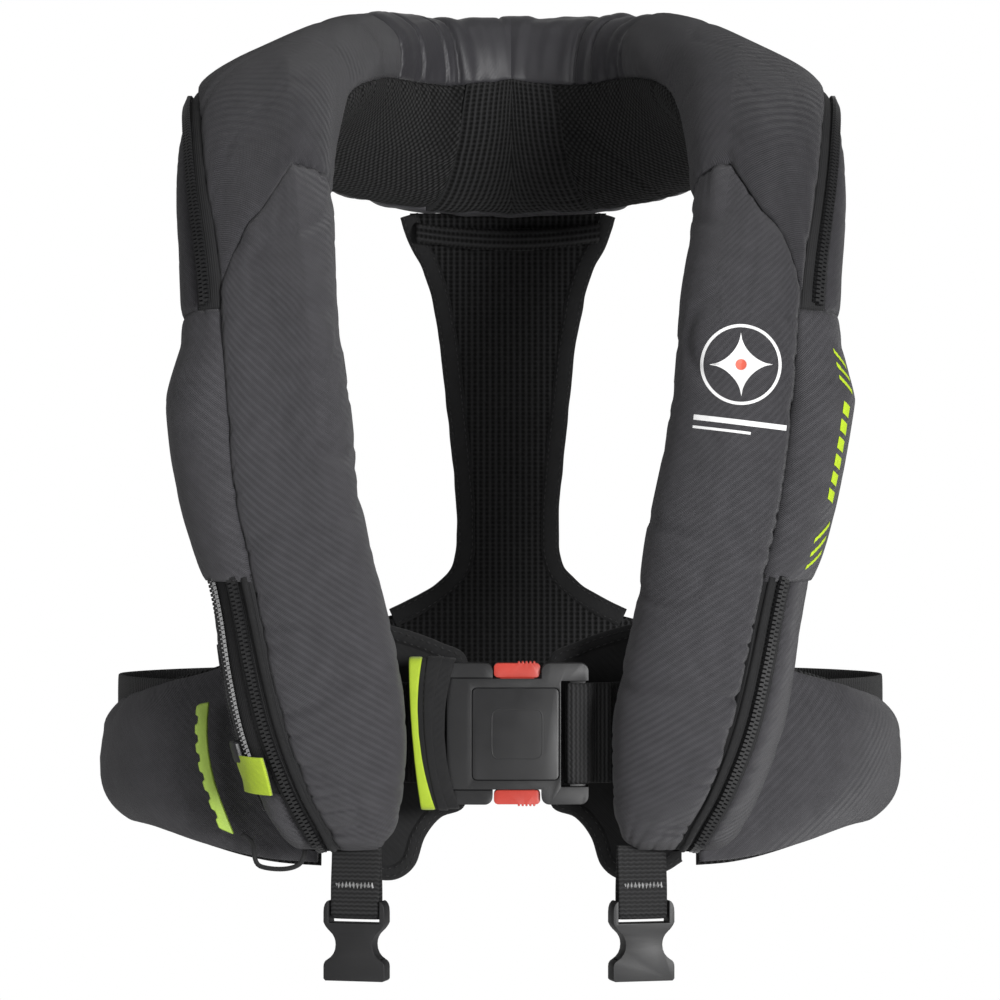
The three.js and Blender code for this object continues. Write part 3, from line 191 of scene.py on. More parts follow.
# %% Grid helper
def mesh_object(name, vertices, faces, uv=None, smooth=True):
    mesh = bpy.data.meshes.new(name)
    mesh.from_pydata(vertices.tolist() if hasattr(vertices, "tolist") else vertices, [], faces)
    if uv is not None:
        layer = mesh.uv_layers.new(name="weave")
        index = np.zeros(len(mesh.loops), int)
        mesh.loops.foreach_get("vertex_index", index)
        layer.data.foreach_set("uv", np.asarray(uv, np.float32)[index].ravel())
    mesh.polygons.foreach_set("use_smooth", [smooth] * len(mesh.polygons))
    mesh.update()
    made = bpy.data.objects.new(name, mesh)
    bpy.context.scene.collection.objects.link(made)
    return made


def grid_object(name, points, uv, closed=False, flip=False):
    """points is rows x columns x 3. closed joins the last column to the first."""
    rows, columns = points.shape[:2]
    wrap = columns if closed else columns - 1
    i, j = np.meshgrid(np.arange(rows - 1), np.arange(wrap), indexing="ij")
    a = i * columns + j
    b = i * columns + (j + 1) % columns
    quads = np.stack([a, b, b + columns, a + columns], -1).reshape(-1, 4)
    if flip:
        quads = quads[:, ::-1]
    return mesh_object(name, points.reshape(-1, 3), quads.tolist(), uv.reshape(-1, 2))


def field(u, v, seed):
    """A smooth random field between -1 and 1."""
    table = np.random.default_rng(seed).uniform(-1, 1, (64, 64))
    ui, vi = np.floor(u).astype(int), np.floor(v).astype(int)
    fu, fv = u - ui, v - vi
    su, sv = fu * fu * (3 - 2 * fu), fv * fv * (3 - 2 * fv)
    at = lambda a, b: table[a % 64, b % 64]
    low = at(ui, vi) * (1 - su) + at(ui + 1, vi) * su
    high = at(ui, vi + 1) * (1 - su) + at(ui + 1, vi + 1) * su
    return low * (1 - sv) + high * sv


def creases(u, v, seed, sharp=0.16):
    return -np.exp(-(field(u, v, seed) / sharp) ** 2)


# %% [markdown]
# ## Finishes
#
# Every finish is procedural. The cloths are a weave in millimetres, drawn as a bump and a slight change of
# colour. The plastics have the fine grain that a spark-eroded mould leaves. Numbers that are the same
# all over are set straight on the shader.

# %% Material helpers
def new_material(name, roughness, sheen=0.0, specular=0.5, metallic=0.0):
    material = bpy.data.materials.new(name)
    material.use_nodes = True
    shader = material.node_tree.nodes["Principled BSDF"]
    shader.inputs["Roughness"].default_value = roughness
    shader.inputs["Metallic"].default_value = metallic
    shader.inputs["Specular IOR Level"].default_value = specular
    if sheen:
        shader.inputs["Sheen Weight"].default_value = sheen
        shader.inputs["Sheen Roughness"].default_value = 0.4
    return material, material.node_tree, shader


def linear(red, green, blue):
    convert = lambda c: (c / 255 / 12.92) if c < 11 else ((c / 255 + 0.055) / 1.055) ** 2.4
    return (convert(red), convert(green), convert(blue), 1)


def math_node(tree, operation, a, b=None, clamp=False):
    node = tree.nodes.new("ShaderNodeMath")
    node.operation = operation
    node.use_clamp = clamp
    for socket, value in zip(node.inputs, (a, b)):
        if value is None:
            continue
        if isinstance(value, (int, float)):
            socket.default_value = value
        else:
            tree.links.new(value, socket)
    return node.outputs[0]


def coordinates(tree, millimetres=True):
    """The weave map in millimetres, or the row frame in millimetres for a carried-over piece."""
    if millimetres:
        node = tree.nodes.new("ShaderNodeUVMap")
        node.uv_map = "weave"
        return node.outputs[0]
    node = tree.nodes.new("ShaderNodeTexCoord")
    scale = tree.nodes.new("ShaderNodeVectorMath")
    scale.operation = "SCALE"
    scale.inputs[3].default_value = 1000
    tree.links.new(node.outputs["Object"], scale.inputs[0])
    return scale.outputs[0]


def noise(tree, vector, scale, detail=3):
    node = tree.nodes.new("ShaderNodeTexNoise")
    node.inputs["Scale"].default_value = scale
    node.inputs["Detail"].default_value = detail
    tree.links.new(vector, node.inputs["Vector"])
    return node.outputs["Fac"]


def split(tree, vector):
    node = tree.nodes.new("ShaderNodeSeparateXYZ")
    tree.links.new(vector, node.inputs[0])
    return node.outputs[0], node.outputs[1]


def ripple(tree, value, pitch, phase=0.0):
    """A cosine of the given pitch in millimetres, from -1 to 1."""
    turn = math_node(tree, "MULTIPLY", value, 2 * math.pi / pitch)
    return math_node(tree, "COSINE", math_node(tree, "ADD", turn, phase))


def two_tone(tree, factor, dark, light):
    ramp = tree.nodes.new("ShaderNodeValToRGB")
    ramp.color_ramp.elements[0].color = dark
    ramp.color_ramp.elements[1].color = light
    tree.links.new(factor, ramp.inputs[0])
    return ramp.outputs[0]


def bump(tree, shader, height, depth_mm, strength=1.0):
    node = tree.nodes.new("ShaderNodeBump")
    node.inputs["Strength"].default_value = strength
    node.inputs["Distance"].default_value = depth_mm * MM
    tree.links.new(height, node.inputs["Height"])
    tree.links.new(node.outputs[0], shader.inputs["Normal"])


def unit(tree, value):
    """From -1..1 to 0..1."""
    return math_node(tree, "ADD", math_node(tree, "MULTIPLY", value, 0.5), 0.5)


# %% Woven cloths
def woven(name, dark, light, pitch, depth, roughness, sheen, slant=1.0, specular=0.35):
    """A twill: slanting ribs crossed by a fine square weave, with a soft change of shade."""
    material, tree, shader = new_material(name, roughness, sheen, specular)
    where = coordinates(tree)
    u, v = split(tree, where)
    diagonal = math_node(tree, "ADD", u, math_node(tree, "MULTIPLY", v, slant))
    ribs = ripple(tree, diagonal, pitch)
    threads = math_node(tree, "MULTIPLY", ripple(tree, u, pitch * 0.83), ripple(tree, v, pitch * 0.83))
    weave = unit(tree, math_node(tree, "ADD", math_node(tree, "MULTIPLY", ribs, 0.6),
                                 math_node(tree, "MULTIPLY", threads, 0.4)))
    cloud = noise(tree, where, 0.12, 4)
    fleck = noise(tree, where, 1.6, 2)
    shade = math_node(tree, "ADD", math_node(tree, "MULTIPLY", weave, 0.45),
                      math_node(tree, "MULTIPLY", math_node(tree, "ADD", cloud, fleck), 0.35), clamp=True)
    tree.links.new(two_tone(tree, shade, dark, light), shader.inputs["Base Color"])
    bump(tree, shader, weave, depth)
    return material


COVER = woven("cover_fabric", linear(6, 6, 7), linear(82, 81, 85), 1.05, 0.42, 0.6, 0.12, specular=0.3)
# The shoulder cloth is the cover cloth with a darker light colour: painted shade for panels that face away
# from the key light, not a different cloth.
SHADED_COVER = woven("cover_fabric_painted_shade", linear(6, 6, 7), linear(70, 69, 73), 1.05, 0.4, 0.6, 0.1,
                 specular=0.3)
SATIN = woven("satin_fabric", linear(26, 26, 28), linear(60, 59, 63), 0.55, 0.05, 0.42, 0.1,
              specular=0.45)
BINDING = woven("binding_fabric", linear(9, 9, 9), linear(42, 42, 43), 0.8, 0.18, 0.8, 0.06,
                specular=0.25)
ZIP_TAPE = woven("zip_tape", linear(10, 10, 11), linear(44, 44, 45), 1.1, 0.25, 0.75, 0.05, slant=0.0,
                 specular=0.25)
LIME_CLOTH = woven("lime_fabric", linear(120, 146, 18), linear(190, 214, 60), 0.9, 0.15, 0.7, 0.2)
LIME_PRINT = woven("lime_print", linear(158, 190, 30), linear(190, 216, 52), 0.95, 0.08, 0.5, 0.0)
WHITE_PRINT = woven("white_print", linear(205, 205, 205), linear(242, 242, 242), 0.95, 0.08, 0.5, 0.0)
CORAL_PRINT = woven("coral_print", linear(205, 84, 66), linear(230, 110, 90), 0.95, 0.08, 0.5, 0.0)


# %% Ribbed spacer mesh, webbing and film
def spacer_mesh(name, rib_pitch=3.3, hole_pitch=2.5, staggered=False):
    """Upright ribs with a row of small holes between each pair, or holes set in a diamond pattern."""
    material, tree, shader = new_material(name, 0.8, 0.04, 0.25)
    where = coordinates(tree)
    u, v = split(tree, where)
    ribs = unit(tree, ripple(tree, u, rib_pitch))
    steps = unit(tree, ripple(tree, v, hole_pitch))
    hole = math_node(tree, "MULTIPLY", math_node(tree, "SUBTRACT", 1.0, ribs), steps)
    if staggered:
        checker = math_node(tree, "MULTIPLY", ripple(tree, u, 2 * rib_pitch),
                            ripple(tree, v, 2 * hole_pitch))
        hole = unit(tree, checker)
        ribs = math_node(tree, "SUBTRACT", 1.0, hole)
    yarn = unit(tree, math_node(tree, "MULTIPLY", ripple(tree, u, rib_pitch / 3), ripple(tree, v, 0.9)))
    height = math_node(tree, "ADD", math_node(tree, "MULTIPLY", ribs, 0.55),
                       math_node(tree, "SUBTRACT", math_node(tree, "MULTIPLY", yarn, 0.25),
                                 math_node(tree, "MULTIPLY", hole, 0.9)))
    shade = math_node(tree, "ADD", height, math_node(tree, "MULTIPLY", noise(tree, where, 0.3), 0.4),
                      clamp=True)
    tree.links.new(two_tone(tree, shade, linear(3, 3, 3), linear(47, 47, 48)),
                   shader.inputs["Base Color"])
    bump(tree, shader, height, 1.2)
    return material


def webbing_material(name, dark, light, rib_pitch=2.1):
    """Flat webbing: ribs across its length, each one a row of small slanting stitches."""
    material, tree, shader = new_material(name, 0.62, 0.05, 0.35)
    where = coordinates(tree)
    u, v = split(tree, where)
    zigzag = math_node(tree, "PINGPONG", u, 1.5)
    ribs = unit(tree, ripple(tree, math_node(tree, "ADD", v, math_node(tree, "MULTIPLY", zigzag, 0.35)),
                             rib_pitch))
    yarn = unit(tree, ripple(tree, math_node(tree, "ADD", u, v), 0.9))
    height = math_node(tree, "ADD", math_node(tree, "MULTIPLY", ribs, 0.75),
                       math_node(tree, "MULTIPLY", yarn, 0.25))
    tree.links.new(two_tone(tree, height, dark, light), shader.inputs["Base Color"])
    bump(tree, shader, height, 0.5)
    return material


MESH = spacer_mesh("mesh_fabric")
FINE_MESH = spacer_mesh("fine_mesh_fabric", 1.9, 1.7, staggered=True)
WEBBING = webbing_material("webbing", linear(5, 5, 5), linear(44, 44, 45))
FILM = woven("bladder_film", linear(190, 168, 22), linear(226, 206, 50), 0.5, 0.04, 0.4, 0.0)
BAR_TACK = woven("bar_tack_thread", linear(150, 150, 150), linear(205, 205, 205), 0.7, 0.25, 0.6, 0.1)
THREAD = woven("black_thread", linear(14, 14, 14), linear(52, 52, 53), 0.6, 0.15, 0.7, 0.1)
SPECKLED = woven("hook_strip", linear(10, 10, 10), linear(70, 70, 72), 1.4, 0.6, 0.8, 0.2)


# %% Moulded plastics, rubber and metal
def moulded(name, colour, roughness, grain=0.05, wear=1.25, metallic=0.0, specular=0.5):
    """Fine mould grain, with a slightly paler, more polished shade where hands rub it."""
    material, tree, shader = new_material(name, roughness, 0.0, specular, metallic)
    where = coordinates(tree, millimetres=False)
    cloud = noise(tree, where, 0.08, 5)
    pale = tuple(min(1.0, c * wear) for c in colour[:3]) + (1,)
    deep = tuple(c * 0.85 for c in colour[:3]) + (1,)
    tree.links.new(two_tone(tree, cloud, deep, pale), shader.inputs["Base Color"])
    rough = math_node(tree, "ADD", math_node(tree, "MULTIPLY", cloud, 0.16), roughness - 0.08)
    tree.links.new(rough, shader.inputs["Roughness"])
    bump(tree, shader, noise(tree, where, 3.2, 3), grain)
    return material


BLACK_PLASTIC = moulded("black_plastic", linear(25, 25, 26), 0.44, grain=0.06, specular=0.4)
FACE_PLASTIC = moulded("face_plastic", linear(27, 27, 28), 0.38, grain=0.03, specular=0.4)
ZIP_PLASTIC = moulded("zip_plastic", linear(24, 24, 25), 0.36)
RED_PLASTIC = moulded("red_plastic", linear(176, 54, 42), 0.38, grain=0.03)
LIME_RUBBER = moulded("lime_rubber", linear(156, 184, 74), 0.5, grain=0.05)
WHITE_PLASTIC = moulded("white_plastic", linear(222, 222, 216), 0.32, grain=0.02, wear=1.05)
ORANGE_PLASTIC = moulded("orange_plastic", linear(222, 112, 28), 0.34, grain=0.02)
STEEL = moulded("steel", linear(176, 179, 182), 0.3, grain=0.02, metallic=1.0)


def finish_piece(piece, material, slot, body, *nodes):
    """The last steps for every piece: its finish, the body it rides on and what it stands for."""
    piece.data.materials.clear()
    piece.data.materials.append(material)
    if body:
        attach(piece, body)
    if nodes:
        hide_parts(*nodes)
    return piece

# %% [markdown]
# ## Sewn panels
#
# A real panel is held down at its seams and full in between. So each panel here dips towards its seams,
# gathers in short folds next to them, and turns in at the very edge, where a neighbour meets it. The
# dip and the folds fade with the true distance from the seam, which is measured on the surface.

# %% Panel maker
SEAM_DIP = 1.7 * MM
TURNED_IN = 4 * MM
GRID = 2.1 * MM


def of(value, at):
    return value(at) if callable(value) else np.full(np.shape(at), float(value))


def panel(name, side, ends, edges, proud=None, gather=0.7, soft=0.7, seed=1, base=0.0, fine=GRID,
          dip=SEAM_DIP, ribs_across=False, meets_twin=False):
    """ends are stations, as numbers or functions of the way across; edges are angles as functions of t."""
    t_mid = (of(ends[0], 0.5) + of(ends[1], 0.5)) / 2
    probe = np.linspace(of(ends[0], 0.5), of(ends[1], 0.5), 60)
    length = np.linalg.norm(np.diff(middle_line(probe), axis=0), axis=1).sum()
    around = surface(t_mid, np.linspace(of(edges[0], t_mid), of(edges[1], t_mid), 60))
    width = np.linalg.norm(np.diff(around, axis=0), axis=1).sum()
    rows, columns = max(12, int(length / fine)), max(8, int(width / fine))
    u, w = np.meshgrid(np.linspace(0, 1, rows), np.linspace(0, 1, columns), indexing="ij")
    t = of(ends[0], w) * (1 - u) + of(ends[1], w) * u
    angle = of(edges[0], t) * (1 - w) + of(edges[1], t) * w
    flat = surface(t, angle)
    step_across = np.linalg.norm(np.diff(flat, axis=1), axis=2)
    step_along = np.linalg.norm(np.diff(flat, axis=0), axis=2)
    s = np.concatenate([np.zeros((rows, 1)), np.cumsum(step_across, 1)], 1)
    l = np.concatenate([np.zeros((1, columns)), np.cumsum(step_along, 0)], 0)
    side_seam = np.minimum(s, s[:, -1:] - s)
    end_seam = l if meets_twin else np.minimum(l, l[-1:] - l)
    seam = np.minimum(side_seam, end_seam)
    lift = base - dip * np.exp(-seam / (3.2 * MM))
    lift = lift + gather * MM * creases(l / (8 * MM), s / (60 * MM),
                                        seed) * np.exp(-side_seam / (13 * MM))
    lift = lift + gather * MM * creases(s / (8 * MM), l / (60 * MM),
                                        seed + 1) * np.exp(-end_seam / (13 * MM))
    lift = lift + soft * MM * (field(s / (34 * MM), l / (55 * MM), seed + 2)
                               + 0.8 * creases(s / (60 * MM), l / (38 * MM), seed + 3, 0.1))
    if proud is not None:
        lift = lift + proud(t, w)
    if meets_twin:
        near = np.clip((l[-1:] - l) / (14 * MM), 0, 1)
        lift = lift * near * near * (3 - 2 * near)
    t, angle, s, l, lift = (np.pad(a, 1, mode="edge") for a in (t, angle, s, l, lift))
    turned = np.zeros(lift.shape, bool)
    turned[[0, -1], :] = True
    turned[:, [0, -1]] = True
    lift = np.where(turned, lift - TURNED_IN, lift)
    if meets_twin:
        t, angle, s, l, lift = (a[:-1] for a in (t, angle, s, l, lift))
    points = surface(t, angle, lift, side)
    if meets_twin:
        close = np.clip(1 - (l[-1:] - l) / (20 * MM), 0, 1) ** 2
        points[..., 0] += (LEAN - points[-1:, :, 0]) * close
    uv = np.stack([l, s] if ribs_across else [s, l], -1) / MM
    return grid_object(name, points, uv, flip=side > 0)


SIDES = {"left": 1, "right": -1}


def ride_or_bend(piece, name, bends):
    """A piece near the nape has its placement baked in and rides on no body; any other rides on its half."""
    if not bends:
        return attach(piece, f"{name}_half")
    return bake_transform(piece)


# %% [markdown]
# ## Covers of the lobes and the collar
#
# The front panel is one piece from the hem to the collar bone. The seam above it climbs from the zip and
# then runs level to the neck. The cover cloth goes on over the shoulder, painted darker there as painted
# shade, and gathered satin covers the nape.

# %% Seam lines
seam_at = lambda t: between(SEAM, t)
lining_at = lambda t: between(LINING, t)
under_at = lambda t: -61 + 47 * np.clip((t - 10.5) / 1.5, 0, 1)
ZIP_ANGLE = 26
BACKING_FROM = 201
BACKING_TO = 299
ACCESS_FROM = 15
PANEL_LOW, PANEL_HIGH, ZIP_TOP, LINING_START = 5.3, 7.8, 11.4, 9.5
SATIN_START = 12.75
LINING_SEAM = 14.32
lining_seam = lambda w: LINING_SEAM - 0.35 * np.asarray(w, float)
zip_outer = lambda t: seam_at(t) - ZIP_ANGLE


def collar_bone(w):
    """The shoulder seam's station, from the zip to the neck."""
    return 7.95 + 1.25 * np.clip(np.asarray(w, float) / 0.42, 0, 1) ** 0.9


def side_bulge(t, w):
    """The side panel stands out most near its top corner, and its lower end is an open flap."""
    rise = np.clip((PANEL_HIGH - 0.28 - t) / 0.55, 0, 1)
    fall = 0.35 + 0.65 * np.clip((t - PANEL_LOW) / 1.9, 0, 1)
    crown = 1 - np.abs(2 * w - 1) ** 5
    return 8.5 * MM * rise * fall * (0.25 + 0.75 * crown)


# %% Lobe panels
PRINT_TARGETS = {}
for name, side in SIDES.items():
    k = 10 if side > 0 else 50
    half = f"{name}_half"
    front = panel(f"{name}_front_panel", side, (0, collar_bone), (seam_at, 200), seed=k, soft=1.9,
                  gather=1.9)
    finish_piece(front, COVER, "cover_fabric", half, f"{name}_front_cover")
    # The shoulder, upper side and shoulder back panels take the cover cloth painted darker, as painted
    # shade.
    shoulder = panel(f"{name}_shoulder_panel", side, (collar_bone, SATIN_START), (seam_at, lining_at),
                     seed=k + 1)
    finish_piece(shoulder, SHADED_COVER, "cover_fabric", half, f"{name}_shoulder_cover")
    backing = panel(f"{name}_backing_panel", side, (0, LINING_START), (BACKING_FROM, BACKING_TO),
                    seed=k + 2)
    finish_piece(backing, BINDING, "binding_fabric", half, f"{name}_backing")
    upper = panel(f"{name}_upper_side_panel", side, (PANEL_HIGH, ZIP_TOP), (under_at, zip_outer),
                  seed=k + 3)
    finish_piece(upper, SHADED_COVER, "cover_fabric", half, f"{name}_upper_side_cover")
    behind = panel(f"{name}_shoulder_back_panel", side, (ZIP_TOP, SATIN_START), (under_at, seam_at),
                   seed=k + 4)
    finish_piece(behind, SHADED_COVER, "cover_fabric", half)
    bulge = panel(f"{name}_side_panel_cover", side, (PANEL_LOW - 0.08, PANEL_HIGH), (-61, seam_at),
                  proud=side_bulge, seed=k + 5, gather=0.9)
    finish_piece(bulge, COVER, "cover_fabric", half, f"{name}_side_panel")
    top_angle = zip_outer if side > 0 else ACCESS_FROM
    lower = panel(f"{name}_lower_side_panel", side, (0, PANEL_LOW), (-61, top_angle), seed=k + 6)
    finish_piece(lower, COVER, "cover_fabric", half, f"{name}_lower_side_cover")
    PRINT_TARGETS[name] = (front, bulge)
    print(name, "front panel vertices:", len(front.data.vertices))

# %% [markdown]
# The satin at the nape is gathered: the fabric is longer than the seam it is sewn to, so it runs into
# folds across the collar. The folds are deepest near the lining seam and fade towards the back.

# %% Gathered satin and the ribbed lining
def gathers(seed):
    def lift(t, w):
        run = t * 55 - 34 * w + 3 * np.sin(w * 5)
        folds = creases(run / 15, w * 0.9 + t * 0.3, seed, 0.2) + 0.5 * field(run / 8, w * 1.5, seed + 1)
        return 2.8 * MM * folds * (0.35 + 0.65 * w)
    return lift


for name, side in SIDES.items():
    k = 90 if side > 0 else 120
    satin = panel(f"{name}_satin_collar", side, (SATIN_START, NAPE), (seam_at, lining_at),
                  proud=gathers(k), seed=k, fine=1.5 * MM, dip=1.2 * MM, meets_twin=True)
    finish_piece(satin, SATIN, "satin_fabric", None, "collar_cover_middle")
    ride_or_bend(satin, name, True)
    inner = panel(f"{name}_neck_lining", side, (LINING_START, lining_seam),
                  (lining_at, lambda t: under_at(t) + 360), seed=k + 1, soft=1.2, gather=1.4)
    finish_piece(inner, FINE_MESH, "mesh_fabric", None, f"{name}_collar_lining")
    ride_or_bend(inner, name, True)
    nape = panel(f"{name}_nape_lining", side, (lining_seam, NAPE), (lining_at, 346), seed=k + 2,
                 soft=1.0, gather=1.2, ribs_across=True, meets_twin=True)
    finish_piece(nape, MESH, "mesh_fabric", None, "collar_lining_middle")
    ride_or_bend(nape, name, True)

# %% [markdown]
# Inside lies the folded air chamber. It is hidden until the zips burst, but it is there, pleated in
# lengthwise folds under the covers.

# %% Folded chamber
def pleats(t, w):
    return 1.3 * MM * np.cos(w * 2 * math.pi * 9)




def pleats_round_lever(t, w):
    return pleats(t, w) - 7 * MM * np.exp(-((t - 2.4) / 1.1) ** 4)


for name, side in SIDES.items():
    folded = panel(f"{name}_folded_chamber", side, (1.6, 13.55), (0, 360),
                   proud=pleats if side > 0 else pleats_round_lever, base=-8.5 * MM, seed=7,
                   fine=4 * MM, dip=0.0)
    finish_piece(folded, FILM, "bladder_film", f"{name}_half", f"{name}_chamber")
nape_chamber = panel("nape_folded_chamber", 1, (13.75, NAPE), (0, 360), proud=pleats, base=-8.5 * MM,
                     seed=8, fine=4 * MM, dip=0.0)
finish_piece(nape_chamber, FILM, "bladder_film", "back", "chamber_middle")

# %% [markdown]
# ## Zips
#
# The burst zips are coarse moulded zips: two rows of teeth that mesh in turn, on a woven tape. Each tooth is
# a small tapered block that stands on the surface, so a loop places them all along the zip's line.

# %% Zip makers
TOOTH_PITCH = 2.2 * MM


def line_on_surface(side, ends, angle_of, lift, pitch):
    """Evenly spaced points on the skin, with the directions along, across and out."""
    t = np.linspace(ends[0], ends[1], 1200)
    raw = surface(t, of(angle_of, t), lift, side)
    run = np.concatenate([[0], np.cumsum(np.linalg.norm(np.diff(raw, axis=0), axis=1))])
    even = np.arange(pitch / 2, run[-1], pitch)
    t = np.interp(even, run, t)
    at = surface(t, of(angle_of, t), lift, side)
    along = surface(t + 0.01, of(angle_of, t + 0.01), lift, side) - surface(t - 0.01,
                                                                            of(angle_of, t - 0.01), lift,
                                                                            side)
    across = surface(t, of(angle_of, t) + 1, lift, side) - surface(t, of(angle_of, t) - 1, lift, side)
    along /= np.linalg.norm(along, axis=1, keepdims=True)
    across -= along * (along * across).sum(1, keepdims=True)
    across /= np.linalg.norm(across, axis=1, keepdims=True)
    out = np.cross(along, across) * side
    return at, along, across, out


BLOCK = np.array([(x, y, z) for z in (0, 1) for y in (-1, 1) for x in (-1, 1)], float)
BLOCK_FACES = [(0, 2, 3, 1), (4, 5, 7, 6), (0, 1, 5, 4), (2, 6, 7, 3), (0, 4, 6, 2), (1, 3, 7, 5)]


def zip_teeth(name, side, ends, angle_of, lift=0.2 * MM):
    at, along, across, out = line_on_surface(side, ends, angle_of, lift, TOOTH_PITCH / 2)
    vertices, faces = [], []
    for i in range(len(at)):
        hand = 1 if i % 2 else -1
        centre = at[i] + across[i] * hand * 1.0 * MM
        taper = np.where(BLOCK[:, 2:] > 0, 0.72, 1.0)
        x = BLOCK[:, :1] * taper * 0.95 * MM
        y = BLOCK[:, 1:2] * taper * 1.75 * MM
        z = BLOCK[:, 2:] * 1.5 * MM
        start = len(vertices) * 8
        vertices.append(centre + x * along[i] + y * across[i] + z * out[i])
        faces += [tuple(start + f for f in face) for face in BLOCK_FACES]
    return mesh_object(name, np.concatenate(vertices), faces, smooth=False)


def zip_set(name, side, ends, edges, node, piping=True):
    """Tape, teeth along its middle and a corded edge beside the front panel."""
    half = "left_half" if side > 0 else "right_half"
    tape = panel(f"{name}_tape", side, ends, edges, base=-1.0 * MM, gather=0.1, soft=0.15, seed=3,
                 fine=1.6 * MM, dip=0.8 * MM)
    finish_piece(tape, ZIP_TAPE, "zip_tape", half, node)
    middle = lambda t: (of(edges[0], t) + of(edges[1], t)) / 2 - 1
    teeth = zip_teeth(f"{name}_teeth", side, (ends[0] + 0.04, ends[1] - 0.04), middle)
    finish_piece(teeth, ZIP_PLASTIC, "zip_tape", half)
    if piping:
        at, along, across, out = line_on_surface(side, ends, lambda t: of(edges[1], t) - 4, -0.4 * MM,
                                                 2 * MM)
        cord = sweep(f"{name}_piping", at, across, out, 1.6 * MM, 1.3 * MM)
        finish_piece(cord, BINDING, "binding_fabric", half)
    print(name, "teeth:", len(teeth.data.vertices) // 8)


# %% [markdown]
# Cords, bindings and straps are all sweeps: one closed section carried along a line. The section is a
# rounded oblong, given by its half width across and half thickness out.

# %% Sweep maker
def sweep(name, at, across, out, half_width, half_thick, squareness=2.5, sides=14, ring=False):
    """half_width may be one number or one for each point."""
    angles = np.linspace(0, 2 * math.pi, sides, endpoint=False)
    wide = np.broadcast_to(np.asarray(half_width, float), (len(at),))
    a = wide[:, None] * signed_power(np.cos(angles), 2 / squareness)
    b = signed_power(np.sin(angles), 2 / squareness) * half_thick
    points = at[:, None] + across[:, None] * a[..., None] + out[:, None] * b[None, :, None]
    run = np.concatenate([[0], np.cumsum(np.linalg.norm(np.diff(points.mean(1), axis=0), axis=1))])
    if ring:
        points = np.concatenate([points, points[:1]])
        a = np.concatenate([a, a[:1]])
        run = np.append(run, run[-1] + np.linalg.norm(points[-1].mean(0) - points[-2].mean(0)))
    uv = np.stack([a / MM, np.broadcast_to(run[:, None] / MM, a.shape)], -1)
    piece = grid_object(name, points, uv, closed=True)
    if not ring:
        close_ends(piece)
    fix_normals(piece)
    return piece


def close_ends(piece):
    work = bmesh.new()
    work.from_mesh(piece.data)
    bmesh.ops.holes_fill(work, edges=[e for e in work.edges if e.is_boundary])
    work.to_mesh(piece.data)
    work.free()


def fix_normals(piece):
    work = bmesh.new()
    work.from_mesh(piece.data)
    bmesh.ops.recalc_face_normals(work, faces=work.faces)
    work.to_mesh(piece.data)
    work.free()


def smooth_line(points, pitch):
    """Even points on a smooth line through given points."""
    p = np.array(points, float)
    p = np.concatenate([[2 * p[0] - p[1]], p, [2 * p[-1] - p[-2]]])
    f = np.linspace(0, 1, 24, endpoint=False)[:, None]
    parts = []
    for i in range(1, len(p) - 2):
        a, b, c, d = p[i - 1:i + 3]
        parts.append(0.5 * (2 * b + (c - a) * f + (2 * a - 5 * b + 4 * c - d) * f ** 2
                            + (3 * b - a - 3 * c + d) * f ** 3))
    line = np.concatenate(parts + [p[-2:-1]])
    run = np.concatenate([[0], np.cumsum(np.linalg.norm(np.diff(line, axis=0), axis=1))])
    even = np.linspace(0, run[-1], max(2, int(run[-1] / pitch)))
    return np.stack([np.interp(even, run, line[:, k]) for k in range(line.shape[1])], 1)


def directions(at, ring=False):
    if ring:
        along = np.roll(at, -1, 0) - np.roll(at, 1, 0)
    else:
        along = np.gradient(at, axis=0)
    return along / np.linalg.norm(along, axis=1, keepdims=True)


# %% All the zips
for name, side in SIDES.items():
    zip_set(f"{name}_upper_zip_set", side, (PANEL_HIGH, ZIP_TOP + 0.12), (zip_outer, seam_at),
            f"{name}_upper_zip", piping=False)
    zip_set(f"{name}_lower_zip_set", side, (0.12, PANEL_LOW), (zip_outer, seam_at), f"{name}_lower_zip")
zip_set("access_zip_set", -1, (1.9, PANEL_LOW), (lambda t: of(ACCESS_FROM, t), zip_outer), "access_zip",
        piping=False)
below_slider = panel("access_zip_end", -1, (0, 1.9), (ACCESS_FROM, zip_outer), seed=61)
finish_piece(below_slider, COVER, "cover_fabric", "right_half")

# %% [markdown]
# ## Waist: padded wings, their lining and the belt
#
# Seen from above, the waist is one line from the spine round the hip to the chest. The padded wing lies
# outside the belt and a ribbed lining inside it. Each is a closed, slightly crowned section that follows
# the line.

# %% Waist line
HIP_X = {1: 194 * MM, -1: 202 * MM}
BELT_Z = -276 * MM
BELT_WIDTH = 50 * MM
BELT_THICK = 1.8 * MM
BELT_FRONT_Y = -115.4 * MM
WAIST_BACK_Y = 106 * MM
WING_END = 94 * MM
# Across, forward, and the top and bottom of the padding in mm from the belt's middle.
WAIST_ROWS = np.array([
    (0, 0, 58, -28), (0.32, 0.01, 50, -30), (0.6, 0.072, 32, -36), (0.86, 0.24, 12, -44),
    (1.0, 0.466, 11, -50),
    (0.985, 0.677, 16, -50), (0.89, 0.843, 22, -51), (0.75, 0.933, 29, -58), (0.6, 0.978, 40, -64),
    (0.45, 1.0, 46, -66)])


